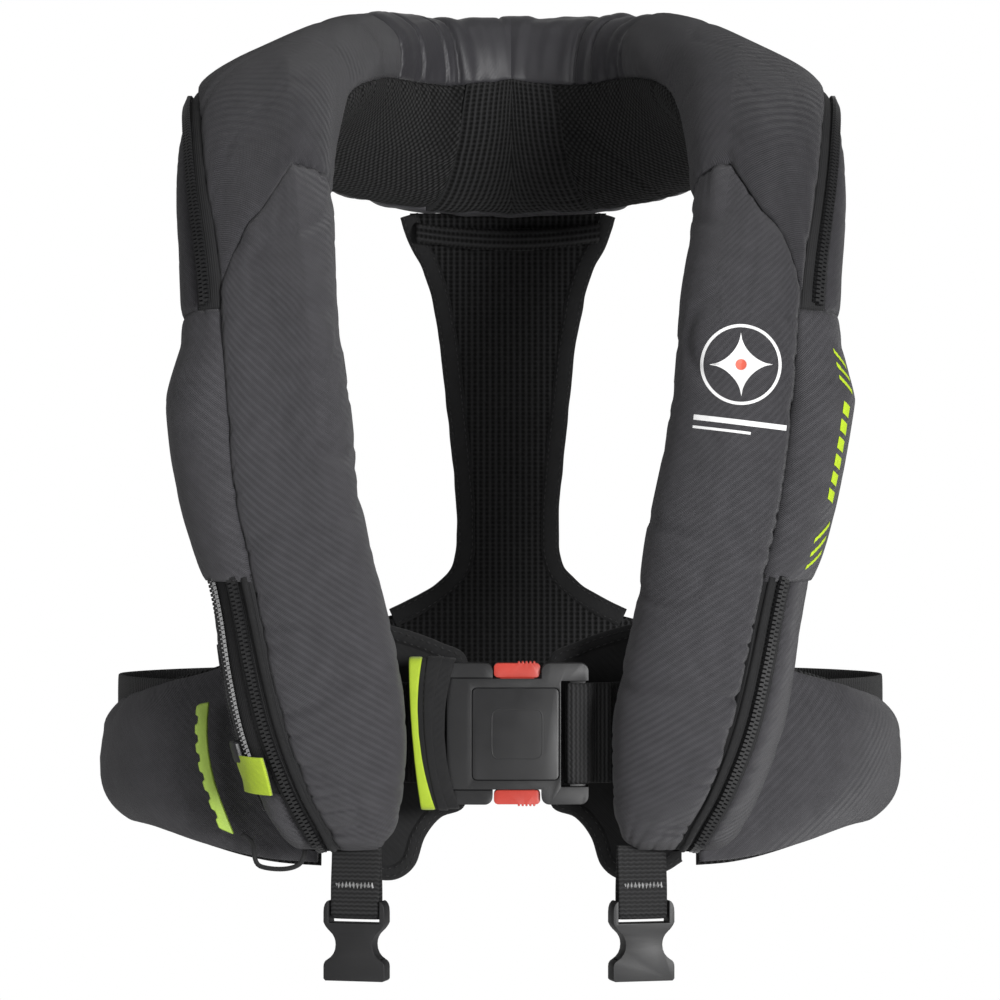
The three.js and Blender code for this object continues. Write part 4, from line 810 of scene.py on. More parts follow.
def waist_at(side, until=0.0, fine=2.5 * MM):
    """Points, outward directions and heights from the spine round the hip to x = until."""
    rows = np.stack([WAIST_ROWS[:, 0] * HIP_X[side],
                     WAIST_BACK_Y + (BELT_FRONT_Y - WAIST_BACK_Y) * WAIST_ROWS[:, 1],
                     WAIST_ROWS[:, 2] * MM, WAIST_ROWS[:, 3] * MM], 1)
    mirrored = rows[1] * (-1, 1, 1, 1)
    line = smooth_line(np.concatenate([[mirrored], rows]), 0.5 * MM)
    first = np.argmax(line[:, 0] >= -0.4 * MM)
    in_front = (line[:, 1] < 0) & (line[:, 0] < until)
    last = np.argmax(in_front) if in_front.any() else len(line)
    line = smooth_line(line[first:last][:: 6], fine)
    flat = line[:, :2]
    along = np.gradient(flat, axis=0)
    along /= np.linalg.norm(along, axis=1, keepdims=True)
    out = np.stack([-along[:, 1], along[:, 0]], 1)
    return flat, out, line[:, 2], line[:, 3]


def waist_layer(name, side, offset, thick, grow=0.0, crown=0.0, wrinkle=0.0, seed=1, sides=56):
    flat, out, top, bottom = waist_at(side, WING_END)
    phi = np.linspace(0, 2 * math.pi, sides, endpoint=False)
    rise = signed_power(np.sin(phi), 0.55)
    bulge = signed_power(np.cos(phi), 0.6)
    run = np.concatenate([[0], np.cumsum(np.linalg.norm(np.diff(flat, axis=0), axis=1))])
    middle = (top + bottom) / 2 + BELT_Z
    half = (top - bottom) / 2 + grow
    z = middle[:, None] + half[:, None] * rise
    s = run[:, None] + 0 * z
    hug = np.clip(flat[:, :1] / HIP_X[side], 0, 1) ** 3
    push = offset + bulge * (thick / 2 + crown * (1 - rise ** 4)) - hug * np.abs(rise) ** 3 * 11 * MM
    outer = np.clip(bulge, 0, 1)
    folds = creases(s / (46 * MM), z / (60 * MM), seed, 0.13) + 0.6 * field(s / (30 * MM), z / (45 * MM),
                                                                            seed + 1)
    short = creases(s / (11 * MM), z / (200 * MM), seed + 2, 0.2) * np.abs(rise) ** 5
    push = push + wrinkle * MM * outer * (folds + 0.6 * short)
    x = flat[:, :1] + out[:, :1] * push
    y = flat[:, 1:] + out[:, 1:] * push
    points = np.stack([x * side, y, z], -1)
    uv = np.stack([s, z], -1) / MM
    piece = grid_object(name, points, uv, closed=True)
    close_ends(piece)
    fix_normals(piece)
    return piece


def bend_waist(piece):
    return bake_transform(piece)


# %% Wings and linings
for name, side in SIDES.items():
    k = 200 if side > 0 else 230
    wing = waist_layer(f"{name}_hip_wing_pad", side, 6.4 * MM, 7 * MM, crown=1.4 * MM, wrinkle=1.5,
                       seed=k)
    finish_piece(wing, COVER, "cover_fabric", None, f"{name}_hip_wing", "waist_pad")
    bend_waist(wing)
    lining = waist_layer(f"{name}_hip_mesh", side, -3.9 * MM, 3 * MM, grow=2.5 * MM, seed=k + 5)
    finish_piece(lining, MESH, "mesh_fabric", None, f"{name}_hip_lining", "waist_lining")
    bend_waist(lining)
    print(name, "wing box:", [round(v, 3) for v in wing.dimensions])

# %% [markdown]
# ## Back panel
#
# The back panel is ribbed mesh between two soft bindings that flare out at the waist. It hangs from a
# padded roll under the collar.

# %% Rows of thread
def stitches(name, line, out, stitch=2.4 * MM, gap=1.3 * MM, radius=0.32 * MM):
    """A row of small thread humps along a line."""
    run = np.concatenate([[0], np.cumsum(np.linalg.norm(np.diff(line, axis=0), axis=1))])
    starts = np.arange(0, run[-1] - stitch, stitch + gap)
    at = lambda d: np.array([np.interp(d, run, line[:, k]) for k in range(3)])
    vertices, faces = [], []
    for n, d in enumerate(starts):
        a, b = at(d), at(d + stitch)
        o = np.array([np.interp(d, run, out[:, k]) for k in range(3)])
        cross = np.cross(o, b - a)
        cross /= np.linalg.norm(cross)
        middle = (a + b) / 2
        vertices += [a, middle + cross * radius, middle + o * radius * 1.3, middle - cross * radius, b,
                     middle - o * radius * 0.5]
        c = n * 6
        faces += [(c, c + 1, c + 2), (c, c + 2, c + 3), (c + 4, c + 2, c + 1), (c + 4, c + 3, c + 2),
                  (c, c + 5, c + 1), (c, c + 3, c + 5), (c + 4, c + 1, c + 5), (c + 4, c + 5, c + 3)]
    uv = np.array(vertices)[:, [0, 2]] / MM
    return mesh_object(name, np.array(vertices), faces, uv)


# %% Back panel
back_low, back_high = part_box("back_panel")
BACK_TOP = back_high.z + 5 * MM
BACK_FOOT = back_low.z - 36 * MM
BACK_HEM = back_low.z - 11 * MM
BINDING_WIDTH = 10.5 * MM
MESH_HALF_THICK = 1.2 * MM
SEWN_TOP_Z = -196 * MM  # below here the panel draws in to the waist
SEWN_REACH = 22 * MM
ROLL_HALF = 50 * MM
ROLL_PUFF = 5.5 * MM
# Down from the top and half the width, in mm.
BACK_ROWS = np.array([
    (0, 60), (17, 54), (26, 48.5), (43, 42.5), (74, 37), (103, 34), (130, 31), (161, 28.3), (186, 28.3),
    (198, 32), (206, 40.5), (212, 49), (218, 60), (223, 71), (229, 86), (248, 86)])


def half_width(z):
    spread = np.linspace(-4, 4, 9) * MM
    return np.mean([np.interp((BACK_TOP - z + d) / MM, BACK_ROWS[:, 0],
                              BACK_ROWS[:, 1]) for d in spread], 0) * MM


def back_depth(x, z):
    share = np.clip((BACK_TOP - z) / (BACK_TOP - back_low.z), 0, 1)
    free = COLLAR_Y + 8 * MM + 14 * MM * np.sin(share ** 0.6 * math.pi / 2)
    sewn = WAIST_BACK_Y - 10 * MM - 8 * MM * (np.abs(x) / (71 * MM)) ** 2
    near = np.clip((SEWN_TOP_Z - z) / SEWN_REACH, 0, 1)
    return free + (sewn - free) * near * near * (3 - 2 * near)


def back_panel():
    z = np.linspace(BACK_TOP, BACK_FOOT, 170)[:, None]
    across = np.linspace(-1, 1, 80)[None]
    x = (half_width(z) - BINDING_WIDTH * 0.55) * across
    pillow = 1.2 * MM * (1 - across ** 6)
    front = np.stack([x, back_depth(x, z) - MESH_HALF_THICK - pillow, z + 0 * x], -1)
    rear = np.stack([x, back_depth(x, z) + MESH_HALF_THICK + pillow, z + 0 * x], -1)
    points = np.concatenate([front, rear[:, ::-1]], 1)
    piece = grid_object("back_mesh_panel", points, points[..., [0, 2]] / MM, closed=True)
    close_ends(piece)
    fix_normals(piece)
    return piece


back = finish_piece(back_panel(), MESH, "mesh_fabric", "back", "back_panel")
for name, side in SIDES.items():
    z = np.linspace(BACK_TOP - 1 * MM, BACK_HEM, 170)
    x = half_width(z) - BINDING_WIDTH / 2
    edge = smooth_line(np.stack([side * x, back_depth(x, z) - 0.6 * MM, z], 1)[::3], 1.5 * MM)
    along = directions(edge)
    out = np.tile((0.0, -1.0, 0.0), (len(edge), 1))
    run = np.arange(len(edge)) / 6
    wide = BINDING_WIDTH / 2 * (1 + 0.07 * field(run, 0 * run, 300 + side))
    band = sweep(f"{name}_back_binding", edge, np.cross(out, along), out, wide, 3.4 * MM)
    finish_piece(band, BINDING, "mesh_fabric", "back")
    for row in (-1, 1):
        seam_line = edge + np.cross(out, along) * row * 3.4 * MM + out * 2.9 * MM
        thread = stitches(f"{name}_back_stitches_{row + 2}", seam_line, out)
        finish_piece(thread, THREAD, "mesh_fabric", "back")
roll_x = np.linspace(-ROLL_HALF, ROLL_HALF, 60)
roll_line = np.stack([roll_x, back_depth(roll_x, BACK_TOP - 12 * MM) - 6 * MM,
                      BACK_TOP - 11 * MM - 3.5 * MM * (1 - (roll_x / (48 * MM)) ** 2)], 1)
puff = ROLL_PUFF * (1 + 0.12 * field(roll_x / (6 * MM), roll_x * 0, 305))
roll = sweep("collar_roll", roll_line, np.tile((0.0, 0.0, 1.0), (60, 1)),
             np.tile((0.0, -1.0, 0.0), (60, 1)), puff,
             5.0 * MM, squareness=2.1, sides=24)
finish_piece(roll, MESH, "mesh_fabric", "back")

# %% [markdown]
# ## Harness flaps
#
# Behind each lobe a soft flap carries the belt. Its bound edge curves down towards the buckle and a
# rounded tongue hangs below. The flap is a filled outline, thickened and rounded, with a flat binding
# swept round its edge and two rows of stitches on it.

# %% Flap outline
FLAP_Y = BELT_FRONT_Y + 4.9 * MM
FLAP_CORNERS = [(88, 50), (78, 55), (66, 54), (50, 50), (34, 44), (21, 36), (21, 10), (21, -18),
                (22, -38), (34, -44), (42, -54), (47, -68), (56, -75), (68, -75), (80, -71), (88, -66)]


def flap_line(side, inset, ends=(0, len(FLAP_CORNERS))):
    corners = [(side * x * MM, FLAP_Y, BELT_Z + z * MM) for x, z in FLAP_CORNERS[ends[0]:ends[1]]]
    line = smooth_line(corners, 1.5 * MM)
    along = directions(line)
    inward = np.cross((0, 1, 0), along) * -side
    return line + inward * inset, along, inward


def filled(name, line, thick, round_by, body, material, slot_name, nodes):
    """A flat outline made into a soft plate with rounded edges."""
    work = bmesh.new()
    corners = [work.verts.new(p) for p in line]
    face = work.faces.new(corners)
    moved = bmesh.ops.extrude_face_region(work, geom=[face])["geom"]
    bmesh.ops.translate(work, vec=(0, thick, 0), verts=[v for v in moved if isinstance(v,
                                                                                       bmesh.types.BMVert)])
    bmesh.ops.recalc_face_normals(work, faces=work.faces)
    rims = [e for e in work.edges if len(e.link_faces) == 2 and e.calc_face_angle(0) > 1]
    bmesh.ops.bevel(work, geom=rims, offset=round_by, segments=3, affect="EDGES", profile=0.6)
    mesh = bpy.data.meshes.new(name)
    work.to_mesh(mesh)
    work.free()
    layer = mesh.uv_layers.new(name="weave")
    for loop in mesh.loops:
        at = mesh.vertices[loop.vertex_index].co
        layer.data[loop.index].uv = (at.x / MM, at.z / MM)
    mesh.polygons.foreach_set("use_smooth", [True] * len(mesh.polygons))
    piece = bpy.data.objects.new(name, mesh)
    bpy.context.scene.collection.objects.link(piece)
    return finish_piece(piece, material, slot_name, body, *nodes)


# %% Flaps with their bindings
for name, side in SIDES.items():
    half = f"{name}_half"
    line, _, _ = flap_line(side, 0.8 * MM)
    flap = filled(f"{name}_flap", line, 4.2 * MM, 1.4 * MM, half, BINDING, "binding_fabric",
                  [f"{name}_harness_flap"])
    line, along, inward = flap_line(side, 4 * MM)
    line = line + np.array((0, 2.1 * MM, 0))
    out = np.tile((0.0, -1.0, 0.0), (len(line), 1))
    band = sweep(f"{name}_flap_binding", line, inward, out, 4.2 * MM, 3.2 * MM)
    finish_piece(band, BINDING, "binding_fabric", half)
    for row, inset in enumerate((2.2 * MM, 6.0 * MM)):
        seam_line = line + inward * (inset - 4 * MM) + out * 3.1 * MM
        thread = stitches(f"{name}_flap_stitches_{row + 1}", seam_line, out)
        finish_piece(thread, THREAD, "binding_fabric", half)

# %% [markdown]
# ## Hard pieces
#
# The moulded pieces keep their exact shape from the rigid model. Real mouldings have no knife edges, so
# each is copied, its sharp edges are rounded with a small bevel, and it gets a moulded finish. The hidden
# pieces inside the lobe only need their finish.

# %% Rounded copies
def rounded(node, material, slot_name, body, radius=0.6 * MM, sharp=30):
    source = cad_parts[node]
    work = bmesh.new()
    work.from_mesh(source.data)
    work.transform(source.matrix_world)
    bmesh.ops.remove_doubles(work, verts=work.verts, dist=0.00002)
    bmesh.ops.dissolve_limit(work, angle_limit=math.radians(1.0), verts=work.verts, edges=work.edges)
    mesh = bpy.data.meshes.new(f"{node}_moulding")
    work.to_mesh(mesh)
    work.free()
    piece = bpy.data.objects.new(f"{node}_moulding", mesh)
    bpy.context.scene.collection.objects.link(piece)
    bevel = piece.modifiers.new("edges", "BEVEL")
    bevel.width = radius
    bevel.segments = 3
    bevel.limit_method = "ANGLE"
    bevel.angle_limit = math.radians(sharp)
    bevel.use_clamp_overlap = True
    bevel.harden_normals = True
    mesh.polygons.foreach_set("use_smooth", [True] * len(mesh.polygons))
    return finish_piece(piece, material, slot_name, body, node)


HARD = {
    "buckle_socket": (BLACK_PLASTIC, "black_plastic", "left_half", 0.5),
    "buckle_plug": (BLACK_PLASTIC, "black_plastic", "right_half", 0.5),
    "upper_release_button": (RED_PLASTIC, "red_plastic", "upper_button", 0.45),
    "lower_release_button": (RED_PLASTIC, "red_plastic", "lower_button", 0.45),
    "left_crotch_socket": (BLACK_PLASTIC, "black_plastic", "left_socket", 0.8),
    "right_crotch_socket": (BLACK_PLASTIC, "black_plastic", "right_socket", 0.8),
    "zip_slider": (ZIP_PLASTIC, "black_plastic", "slider", 0.5),
}
for node, (material, slot_name, body, radius) in HARD.items():
    made = rounded(node, material, slot_name, body, radius * MM)
    print(made.name, "corners before the bevel:", len(made.data.vertices))
INSIDE = {
    "gas_cylinder": (STEEL, "steel"), "inflator_body": (BLACK_PLASTIC, "black_plastic"),
    "inflator_cap": (WHITE_PLASTIC, "white_plastic"), "firing_lever": (WHITE_PLASTIC, "white_plastic"),
    "lever_pin": (STEEL, "steel"), "oral_tube": (BLACK_PLASTIC, "black_plastic"),
    "oral_tube_cap": (ORANGE_PLASTIC, "orange_plastic"), "whistle": (ORANGE_PLASTIC, "orange_plastic"),
    "upper_button_spring": (STEEL, "steel"), "lower_button_spring": (STEEL, "steel"),
}
for node, (material, slot_name) in INSIDE.items():
    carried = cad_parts[node]
    carried.data.materials.clear()
    carried.data.materials.append(material)

# %% [markdown]
# ## Belt
#
# The belt is 50 mm webbing. It comes forward from the hip, passes in front of the buckle's bar, round it
# and back behind, where the end is sewn down. Drawing that whole path as one line makes the loop real,
# and the sweep's map keeps the webbing's ribs square to its length.

# %% Belt with its loops
HINGE_Y = 125 * MM
BUCKLE_RADIUS = 265.4 * MM
BAR_X = 34.7 * MM
BAR_Y = HINGE_Y - math.sqrt(BUCKLE_RADIUS ** 2 - BAR_X ** 2)
BAR_TURN = math.asin(BAR_X / BUCKLE_RADIUS)
LOOP = [(17, 2.3), (13, 2.3), (10, 2.2), (7.4, 1), (5.6, -1.4), (4.6, -3.6), (2.5, -4.1), (-2.5, -4.1),
        (-4.8, -3.3), (-5.5, -1), (-5.5, 1), (-4.8, 3.3), (-2.5, 4.1), (4, 4.1), (12, 4.1)]


def on_bar(across, deep):
    x = BAR_X + across * MM * math.cos(BAR_TURN) - deep * MM * math.sin(BAR_TURN)
    return x, BAR_Y + across * MM * math.sin(BAR_TURN) + deep * MM * math.cos(BAR_TURN)


for name, side in SIDES.items():
    flat, _, _, _ = waist_at(side, 100 * MM)
    near = (on_bar(19, 0)[0], (BAR_Y + BELT_FRONT_Y) / 2)
    far = (on_bar(31, 0)[0], BAR_Y + 0.94 * (BELT_FRONT_Y - BAR_Y))
    way = [on_bar(*p) for p in LOOP] + [near,
                                        far] + [tuple(p) for p in flat[::-1][::5]] + [tuple(flat[0])]
    line = smooth_line(way, 1.2 * MM)
    line = np.stack([line[:, 0] * side, line[:, 1], line[:, 0] * 0 + BELT_Z], 1)
    along = directions(line)
    up = np.tile((0.0, 0.0, 1.0), (len(line), 1))
    strap = sweep(f"{name}_belt_webbing", line, up, np.cross(along, up), BELT_WIDTH / 2, BELT_THICK / 2,
                  squareness=5, sides=24)
    finish_piece(strap, WEBBING, "webbing", None, f"{name}_belt", "waist_belt")
    bend_waist(strap)
    print(name, "belt length: %.3f m" % np.linalg.norm(np.diff(line, axis=0), axis=1).sum())

# %% [markdown]
# An elastic sleeve slides over the buckle's end and holds the belt's loose fold. It leans, and its bright
# edge shows that it is in place. The sleeve is a flat band swept round a squarish ring.

# %% Keeper sleeve
def through(low, middle, high, share):
    """A smooth value from its bottom, middle and top values; share runs from -1 to 1."""
    return middle + (high - low) / 2 * share + ((high + low) / 2 - middle) * share ** 2


KEEPER_HALF_DEPTH = 10.6 * MM
KEEPER_HALF_HEIGHT = 36.8 * MM


def sleeve(name, first, second, thick, proud, material, slot_name, nodes=()):
    turn = np.linspace(0, 2 * math.pi, 160, endpoint=False)
    z = signed_power(np.sin(turn), 0.36)
    y = signed_power(np.cos(turn), 0.36)
    x0, x1 = through(*first, z) * MM, through(*second, z) * MM
    ring = np.stack([0 * y, BAR_Y + y * (KEEPER_HALF_DEPTH + proud),
                     BELT_Z + z * (KEEPER_HALF_HEIGHT + proud)], 1)
    along = directions(ring, ring=True)
    across = np.tile((1.0, 0.0, 0.0), (len(ring), 1))
    ring[:, 0] = (x0 + x1) / 2
    band = sweep(name, ring, across, np.cross(along, across), (x1 - x0) / 2, thick / 2, squareness=4,
                 sides=20, ring=True)
    return finish_piece(band, material, slot_name, "right_half", *nodes), ring


band, ring = sleeve("belt_sleeve", (-36.6, -44.5, -43), (-24, -31.5, -26), 1.8 * MM, 0, BINDING,
                    "binding_fabric", ["belt_keeper"])
sleeve("belt_sleeve_hem", (-34.5, -41.5, -40), (-29.5, -37.5, -32), 1.2 * MM, 0.9 * MM, BINDING,
       "binding_fabric")
sleeve("belt_sleeve_trim", (-43.2, -47.6, -49.2), (-36.0, -44.2, -42.6), 2.0 * MM, 0.2 * MM, LIME_CLOTH,
       "lime_fabric")
in_front = ring[ring[:, 1] < BAR_Y - 9 * MM]
in_front = in_front[np.argsort(in_front[:, 2])]
thread_line = in_front + np.array((through(-4.0, -3.2, -6.0, (in_front[:, 2] - BELT_Z) / (37 * MM)) * MM,
                                   in_front[:, 1] * 0 - 1.0 * MM, in_front[:, 1] * 0)).T
thread = stitches("sleeve_stitches", thread_line, np.tile((0.0, -1.0, 0.0), (len(thread_line), 1)))
finish_piece(thread, THREAD, "binding_fabric", "right_half")

# %% [markdown]
# ## Buckle face
#
# The plate in the buckle's face has a faint raised square, so a thin square rim is swept over its curve.

# %% Face plate
rounded("buckle_face_plate", FACE_PLASTIC, "black_plastic", "left_half", 0.2 * MM)
SQUARE_X = 4.5 * MM
SQUARE_HALF_WIDTH = 12.6 * MM
SQUARE_HALF_HEIGHT = 12.4 * MM
turn = np.linspace(0, 2 * math.pi, 200, endpoint=False)
rim_x = SQUARE_X + SQUARE_HALF_WIDTH * signed_power(np.cos(turn), 0.28)
rim_z = BELT_Z + SQUARE_HALF_HEIGHT * signed_power(np.sin(turn), 0.28)
rim = np.stack([rim_x, HINGE_Y - np.sqrt((BUCKLE_RADIUS + 8.2 * MM) ** 2 - rim_x ** 2), rim_z], 1)
toward_eye = np.tile((0.0, -1.0, 0.0), (len(rim), 1))
square = sweep("face_plate_square", rim, np.cross(directions(rim, ring=True), toward_eye), toward_eye,
               0.32 * MM, 0.14 * MM, ring=True)
finish_piece(square, BLACK_PLASTIC, "black_plastic", "left_half")

# %% [markdown]
# ## Crotch-strap loops
#
# A short loop of 25 mm webbing hangs from each hem, held by a bar tack: a dense zigzag of light thread.
# The loop goes round the socket's bar.

# %% Loops and bar tacks
TAB_X = {1: 66 * MM, -1: 75 * MM}
TAB_Y = -148 * MM
BAR_Z = -364 * MM
LOOP_TOP = 33 * MM
LOOP_RADIUS = 2.95 * MM
SOCKET_TURN = 15  # degrees, away from the middle
WEBBING_HALF = 12.5 * MM


def turned_about(points, side):
    turn = math.radians(SOCKET_TURN * side)
    x, y, z = points[:, 0], points[:, 1], points[:, 2]
    return np.stack([side * TAB_X[side] + x * math.cos(turn) - y * math.sin(turn),
                     TAB_Y + x * math.sin(turn) + y * math.cos(turn), BAR_Z + z], 1)


for name, side in SIDES.items():
    height = np.linspace(LOOP_TOP, 0.6 * MM, 26)
    close = np.clip((LOOP_TOP - height) / (24 * MM), 0, 1)
    width = 0.95 * MM + (LOOP_RADIUS - 0.95 * MM) * close ** 2 * (3 - 2 * close)
    arc = np.radians(np.linspace(180, 360, 17))
    y = np.concatenate([-width, LOOP_RADIUS * np.cos(arc), width[::-1]])
    z = np.concatenate([height, LOOP_RADIUS * np.sin(arc), height[::-1]])
    path = smooth_line(np.stack([0 * y, y, z], 1), 0.7 * MM)
    along = directions(path)
    out = np.cross(along, (1.0, 0.0, 0.0))
    turn = math.radians(SOCKET_TURN * side)
    spin = lambda v: np.stack([v[:, 0] * math.cos(turn) - v[:, 1] * math.sin(turn),
                               v[:, 0] * math.sin(turn) + v[:, 1] * math.cos(turn), v[:, 2]], 1)
    across = spin(np.tile((1.0, 0.0, 0.0), (len(path), 1)))
    loop = sweep(f"{name}_tab_webbing", turned_about(path, side), across, spin(out), WEBBING_HALF, 0.75 * MM,
                 squareness=5, sides=24)
    finish_piece(loop, WEBBING, "webbing", f"{name}_tab", f"{name}_crotch_tab")
    steps = np.arange(0, 44)
    zigzag = np.stack([(steps / 43 - 0.5) * 19 * MM, 0 * steps - 3.75 * MM,
                       13.5 * MM + 0.9 * MM * (-1.0) ** steps + 0.5 * MM * np.sin(steps * 1.7)], 1)
    tack_line = turned_about(zigzag, side)
    tack_out = spin(np.tile((0.0, -1.0, 0.0), (len(steps), 1)))
    tack_across = np.cross(directions(tack_line), tack_out)
    tack = sweep(f"{name}_bar_tack", tack_line, tack_across, tack_out, 0.42 * MM, 0.4 * MM, sides=6)
    finish_piece(tack, BAR_TACK, "webbing", f"{name}_tab")

# %% [markdown]
# ## Pull handle, its cord and the zip's tab
#
# The handle is a toothed rubber moulding, and a thin cord runs from it to the firing lever behind the
# cover. The bright tab on the zip slider is a folded piece of tape that lies on the cover.

# %% Handle and cord
rounded("pull_handle", LIME_RUBBER, "lime_rubber", "handle", 0.8 * MM)
cord_way = [(-110.08, -143.27, -297.05), (-104.08, -142.27, -307.05), (-102.08, -144, -339),
            (-123.54, -130, -343), (-128, -128, -331), (-133, -128, -327)]
cord_line = smooth_line([(x * MM, y * MM, z * MM) for x, y, z in cord_way], 1.5 * MM)
cord_along = directions(cord_line)
cord_across = np.cross(cord_along, (0.0, -1.0, 0.0))
cord_across /= np.linalg.norm(cord_across, axis=1, keepdims=True)
cord = sweep("pull_cord_line", cord_line, cord_across, np.cross(cord_across, cord_along), 1.2 * MM,
             1.2 * MM, squareness=2, sides=10)
finish_piece(cord, THREAD, "webbing", None, "pull_cord")
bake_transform(cord)

# %% Zip tab and hook strip
def patch(name, side, ends, angles, lift, thick, material, slot_name, body, nodes=(), curl=0.0, seed=5):
    """A small closed piece of cloth that lies on the skin."""
    u, w = np.meshgrid(np.linspace(0, 1, 34), np.linspace(0, 1, 30), indexing="ij")
    t = ends[0] + (ends[1] - ends[0]) * u
    angle = angles[0] + (angles[1] - angles[0]) * w
    rise = lift + curl * (1 - u) ** 2 + 0.25 * MM * field(u * 3, w * 3, seed)
    top = surface(t, angle, rise + thick / 2, side)
    bottom = surface(t, angle, rise - thick / 2, side)
    points = np.concatenate([top, bottom[:, ::-1]], 1)
    length = np.linalg.norm(top[-1, 0] - top[0, 0])
    width = np.linalg.norm(top[0, -1] - top[0, 0])
    flat = np.stack([w * width, u * length], -1) / MM
    piece = grid_object(name, points, np.concatenate([flat, flat[:, ::-1]], 1), closed=True)
    close_ends(piece)
    fix_normals(piece)
    return finish_piece(piece, material, slot_name, body, *nodes)


TAB_ENDS = (1.9, 2.66)
TAB_ANGLES = (17, 55)
STRIP_ENDS = (1.2, 4.4)
STRIP_ANGLES = (-20, -6)
patch("zip_pull_tab", -1, TAB_ENDS, TAB_ANGLES, 3.3 * MM, 1.6 * MM, LIME_CLOTH, "lime_fabric",
      "slider_tab", ["zip_pull"], curl=1.5 * MM)
patch("hook_strip", -1, STRIP_ENDS, STRIP_ANGLES, 1.0 * MM, 1.2 * MM, SPECKLED, "binding_fabric",
      "right_half")

# %% [markdown]
# ## Prints
#
# Prints are thin flat shapes laid on the cover: each is drawn as a small grid in front of the jacket,
# then every point moves straight back until it meets the cloth, and stops just above it. A ring with a
# four-pointed star and two plain bars decorate the chest, and bright slanting bars mark the side panel.

# %% Print helpers
def cover_tree(piece):
    work = bmesh.new()
    work.from_mesh(piece.data)
    work.transform(piece.matrix_world)
    tree = BVHTree.FromBMesh(work)
    work.free()
    return tree


def print_grid(name, flat, tree, material, slot_name, raised=0.22 * MM):
    """flat is rows x columns x 2: across and up, in metres."""
    rows, columns = flat.shape[:2]
    placed = np.zeros((rows, columns, 3))
    for i in range(rows):
        for j in range(columns):
            x, z = flat[i, j]
            hit, normal, _, _ = tree.ray_cast(Vector((x, -0.5, z)), Vector((0, 1, 0)))
            placed[i, j] = hit + Vector((0, -1, 0)) * raised
    piece = grid_object(name, placed, flat / MM)
    return finish_piece(piece, material, slot_name, "left_half")


def bar_shape(start, end, wide, columns=60, rows=6, slant=0.0):
    """A straight bar, as a grid."""
    a, b = np.array(start) * MM, np.array(end) * MM
    along = (b - a) / np.linalg.norm(b - a)
    across = np.array((-along[1], along[0]))
    u, w = np.meshgrid(np.linspace(0, 1, columns), np.linspace(-1, 1, rows), indexing="ij")
    return a + (b - a) * u[..., None] + across * (w * wide / 2 * MM)[...,
                                                                     None] + along * (w * slant
                                                                     * MM)[..., None]


chest = cover_tree(PRINT_TARGETS["left"][0])
EMBLEM = np.array((113.5, -94.0))
turn, width = np.meshgrid(np.linspace(0, 2 * math.pi, 121), np.linspace(-1, 1, 4), indexing="ij")


def ring_shape(radius, stroke):
    r = (radius + width * stroke / 2) * MM
    return EMBLEM * MM + np.stack([r * np.cos(turn), r * np.sin(turn)], -1)


print_grid("emblem_ring", ring_shape(19.0, 1.5), chest, WHITE_PRINT, "cover_fabric")
star = 15.5 * (np.abs(np.cos(turn)) ** 0.62 + np.abs(np.sin(turn)) ** 0.62) ** (-1 / 0.62)
star_shape = EMBLEM * MM + np.stack([np.cos(turn), np.sin(turn)],
                                    -1) * (star * (0.02 + 0.49 * (width + 1)) * MM)[..., None]
print_grid("emblem_star", star_shape, chest, WHITE_PRINT, "cover_fabric")
dot_shape = EMBLEM * MM + np.stack([np.cos(turn), np.sin(turn)],
                                   -1) * ((0.1 + 1.3 * (width + 1)) * MM)[..., None]
print_grid("emblem_dot", dot_shape, chest, CORAL_PRINT, "cover_fabric", raised=0.4 * MM)
print_grid("chest_bar", bar_shape((90.5, -119.5), (135.5, -125), 2.6), chest, WHITE_PRINT, "cover_fabric")
print_grid("chest_bar_short", bar_shape((90.0, -124.2), (118, -127.6), 1.3), chest, WHITE_PRINT,
           "cover_fabric")

# %% Side stripes
bulge_tree = cover_tree(PRINT_TARGETS["left"][1])


def side_print(name, ends, angles, shear=0.0):
    u, w = np.meshgrid(np.linspace(0, 1, 40), np.linspace(0, 1, 6), indexing="ij")
    t = ends[0] + (ends[1] - ends[0]) * w + shear * u
    angle = angles[0] + (angles[1] - angles[0]) * u
    points = surface(t, angle, 8 * MM, 1)
    flat = points.copy()
    for i in range(points.shape[0]):
        for j in range(points.shape[1]):
            hit, normal, _, _ = bulge_tree.find_nearest(Vector(points[i, j]))
            away = normal if normal.dot(Vector(points[i, j]) - hit) > 0 else -normal
            flat[i, j] = hit + away * 0.3 * MM
    return finish_piece(grid_object(name, flat, points[..., [1, 2]] / MM), LIME_PRINT, "lime_fabric",
                        "left_half")


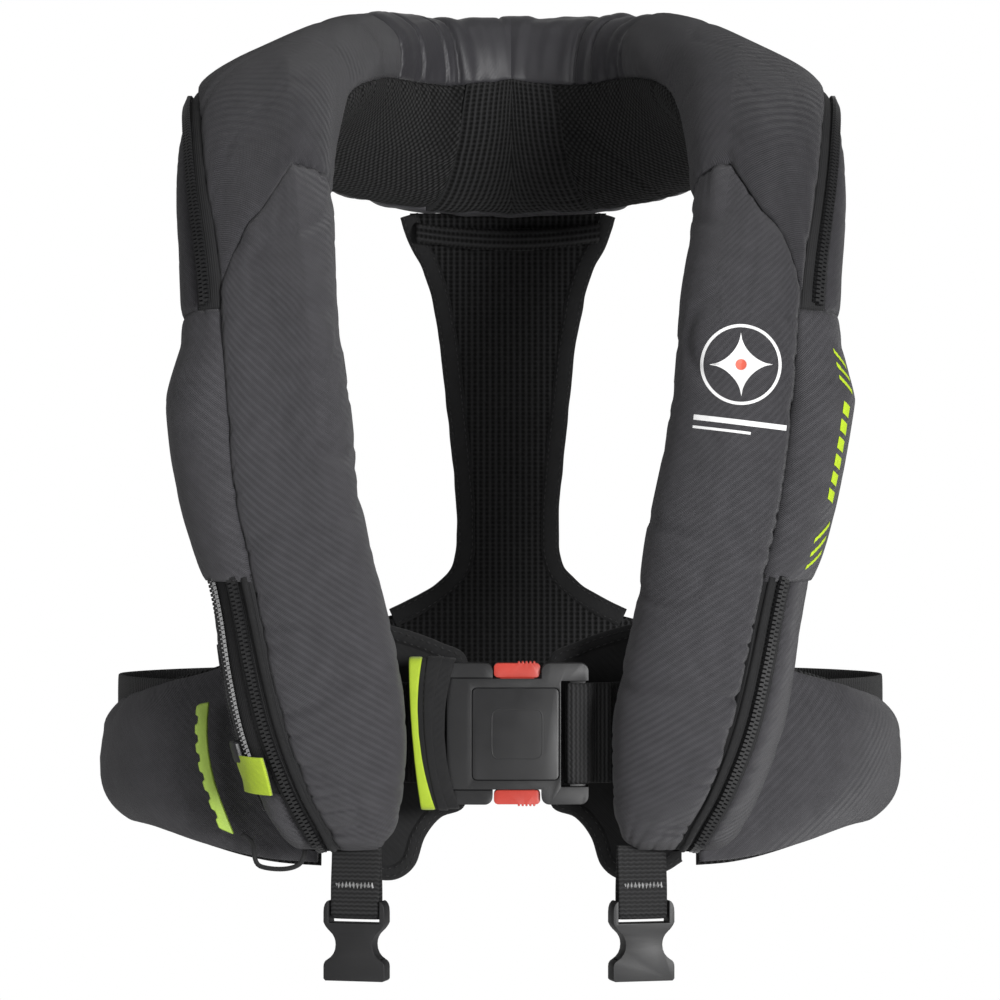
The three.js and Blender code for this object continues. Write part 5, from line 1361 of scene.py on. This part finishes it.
for n in range(3):
    side_print(f"upper_stripe_{n + 1}", (7.02 + 0.14 * n, 7.07 + 0.14 * n), (20, 38), shear=0.16)
    side_print(f"lower_stripe_{n + 1}", (5.46 + 0.14 * n, 5.51 + 0.14 * n), (20, 38), shear=-0.16)
for n in range(6):
    side_print(f"side_block_{n + 1}", (5.96 + 0.165 * n, 6.07 + 0.165 * n), (25, 35), shear=0.05)

# %% [markdown]
# ## Floor and light
#
# The jacket hangs in front of a white background, over a plain pale floor. One large soft light stands to
# the right and a little low, so the fabric's folds show, and a weaker one fills in from the left.

# %% Floor
bpy.ops.mesh.primitive_plane_add(size=8, location=(0, 0, -0.95))
floor = bpy.context.object
floor.name = "floor"
floor_material, _, floor_shader = new_material("floor", 0.9, 0.0, 0.2)
floor_shader.inputs["Base Color"].default_value = (0.9, 0.9, 0.9, 1)
floor.data.materials.append(floor_material)

# %% Light
world = bpy.data.worlds.new("studio")
world.use_nodes = True
tree = world.node_tree
surround = tree.nodes["Background"]
surround.inputs[0].default_value = (1, 1, 1, 1)
surround.inputs[1].default_value = 0.22
paper = tree.nodes.new("ShaderNodeBackground")
paper.inputs[0].default_value = (1, 1, 1, 1)
paper.inputs[1].default_value = 1.0
mix = tree.nodes.new("ShaderNodeMixShader")
tree.links.new(tree.nodes.new("ShaderNodeLightPath").outputs["Is Camera Ray"], mix.inputs[0])
tree.links.new(surround.outputs[0], mix.inputs[1])
tree.links.new(paper.outputs[0], mix.inputs[2])
tree.links.new(mix.outputs[0], tree.nodes["World Output"].inputs[0])
bpy.context.scene.world = world
bpy.context.scene.view_settings.view_transform = "Standard"


def softbox(name, location, size, power):
    data = bpy.data.lights.new(name, "AREA")
    data.shape = "DISK"
    data.size = size
    data.energy = power
    lamp = bpy.data.objects.new(name, data)
    lamp.location = location
    lamp.rotation_euler = (Vector((0, 0, -0.15)) - Vector(location)).to_track_quat("-Z", "Y").to_euler()
    bpy.context.scene.collection.objects.link(lamp)


softbox("key", (1.5, -2.7, 0.1), 0.8, 92)
softbox("fill", (-1.8, -2.4, 0.3), 1.4, 12)
softbox("top", (0.2, -0.8, 2.4), 1.6, 8)
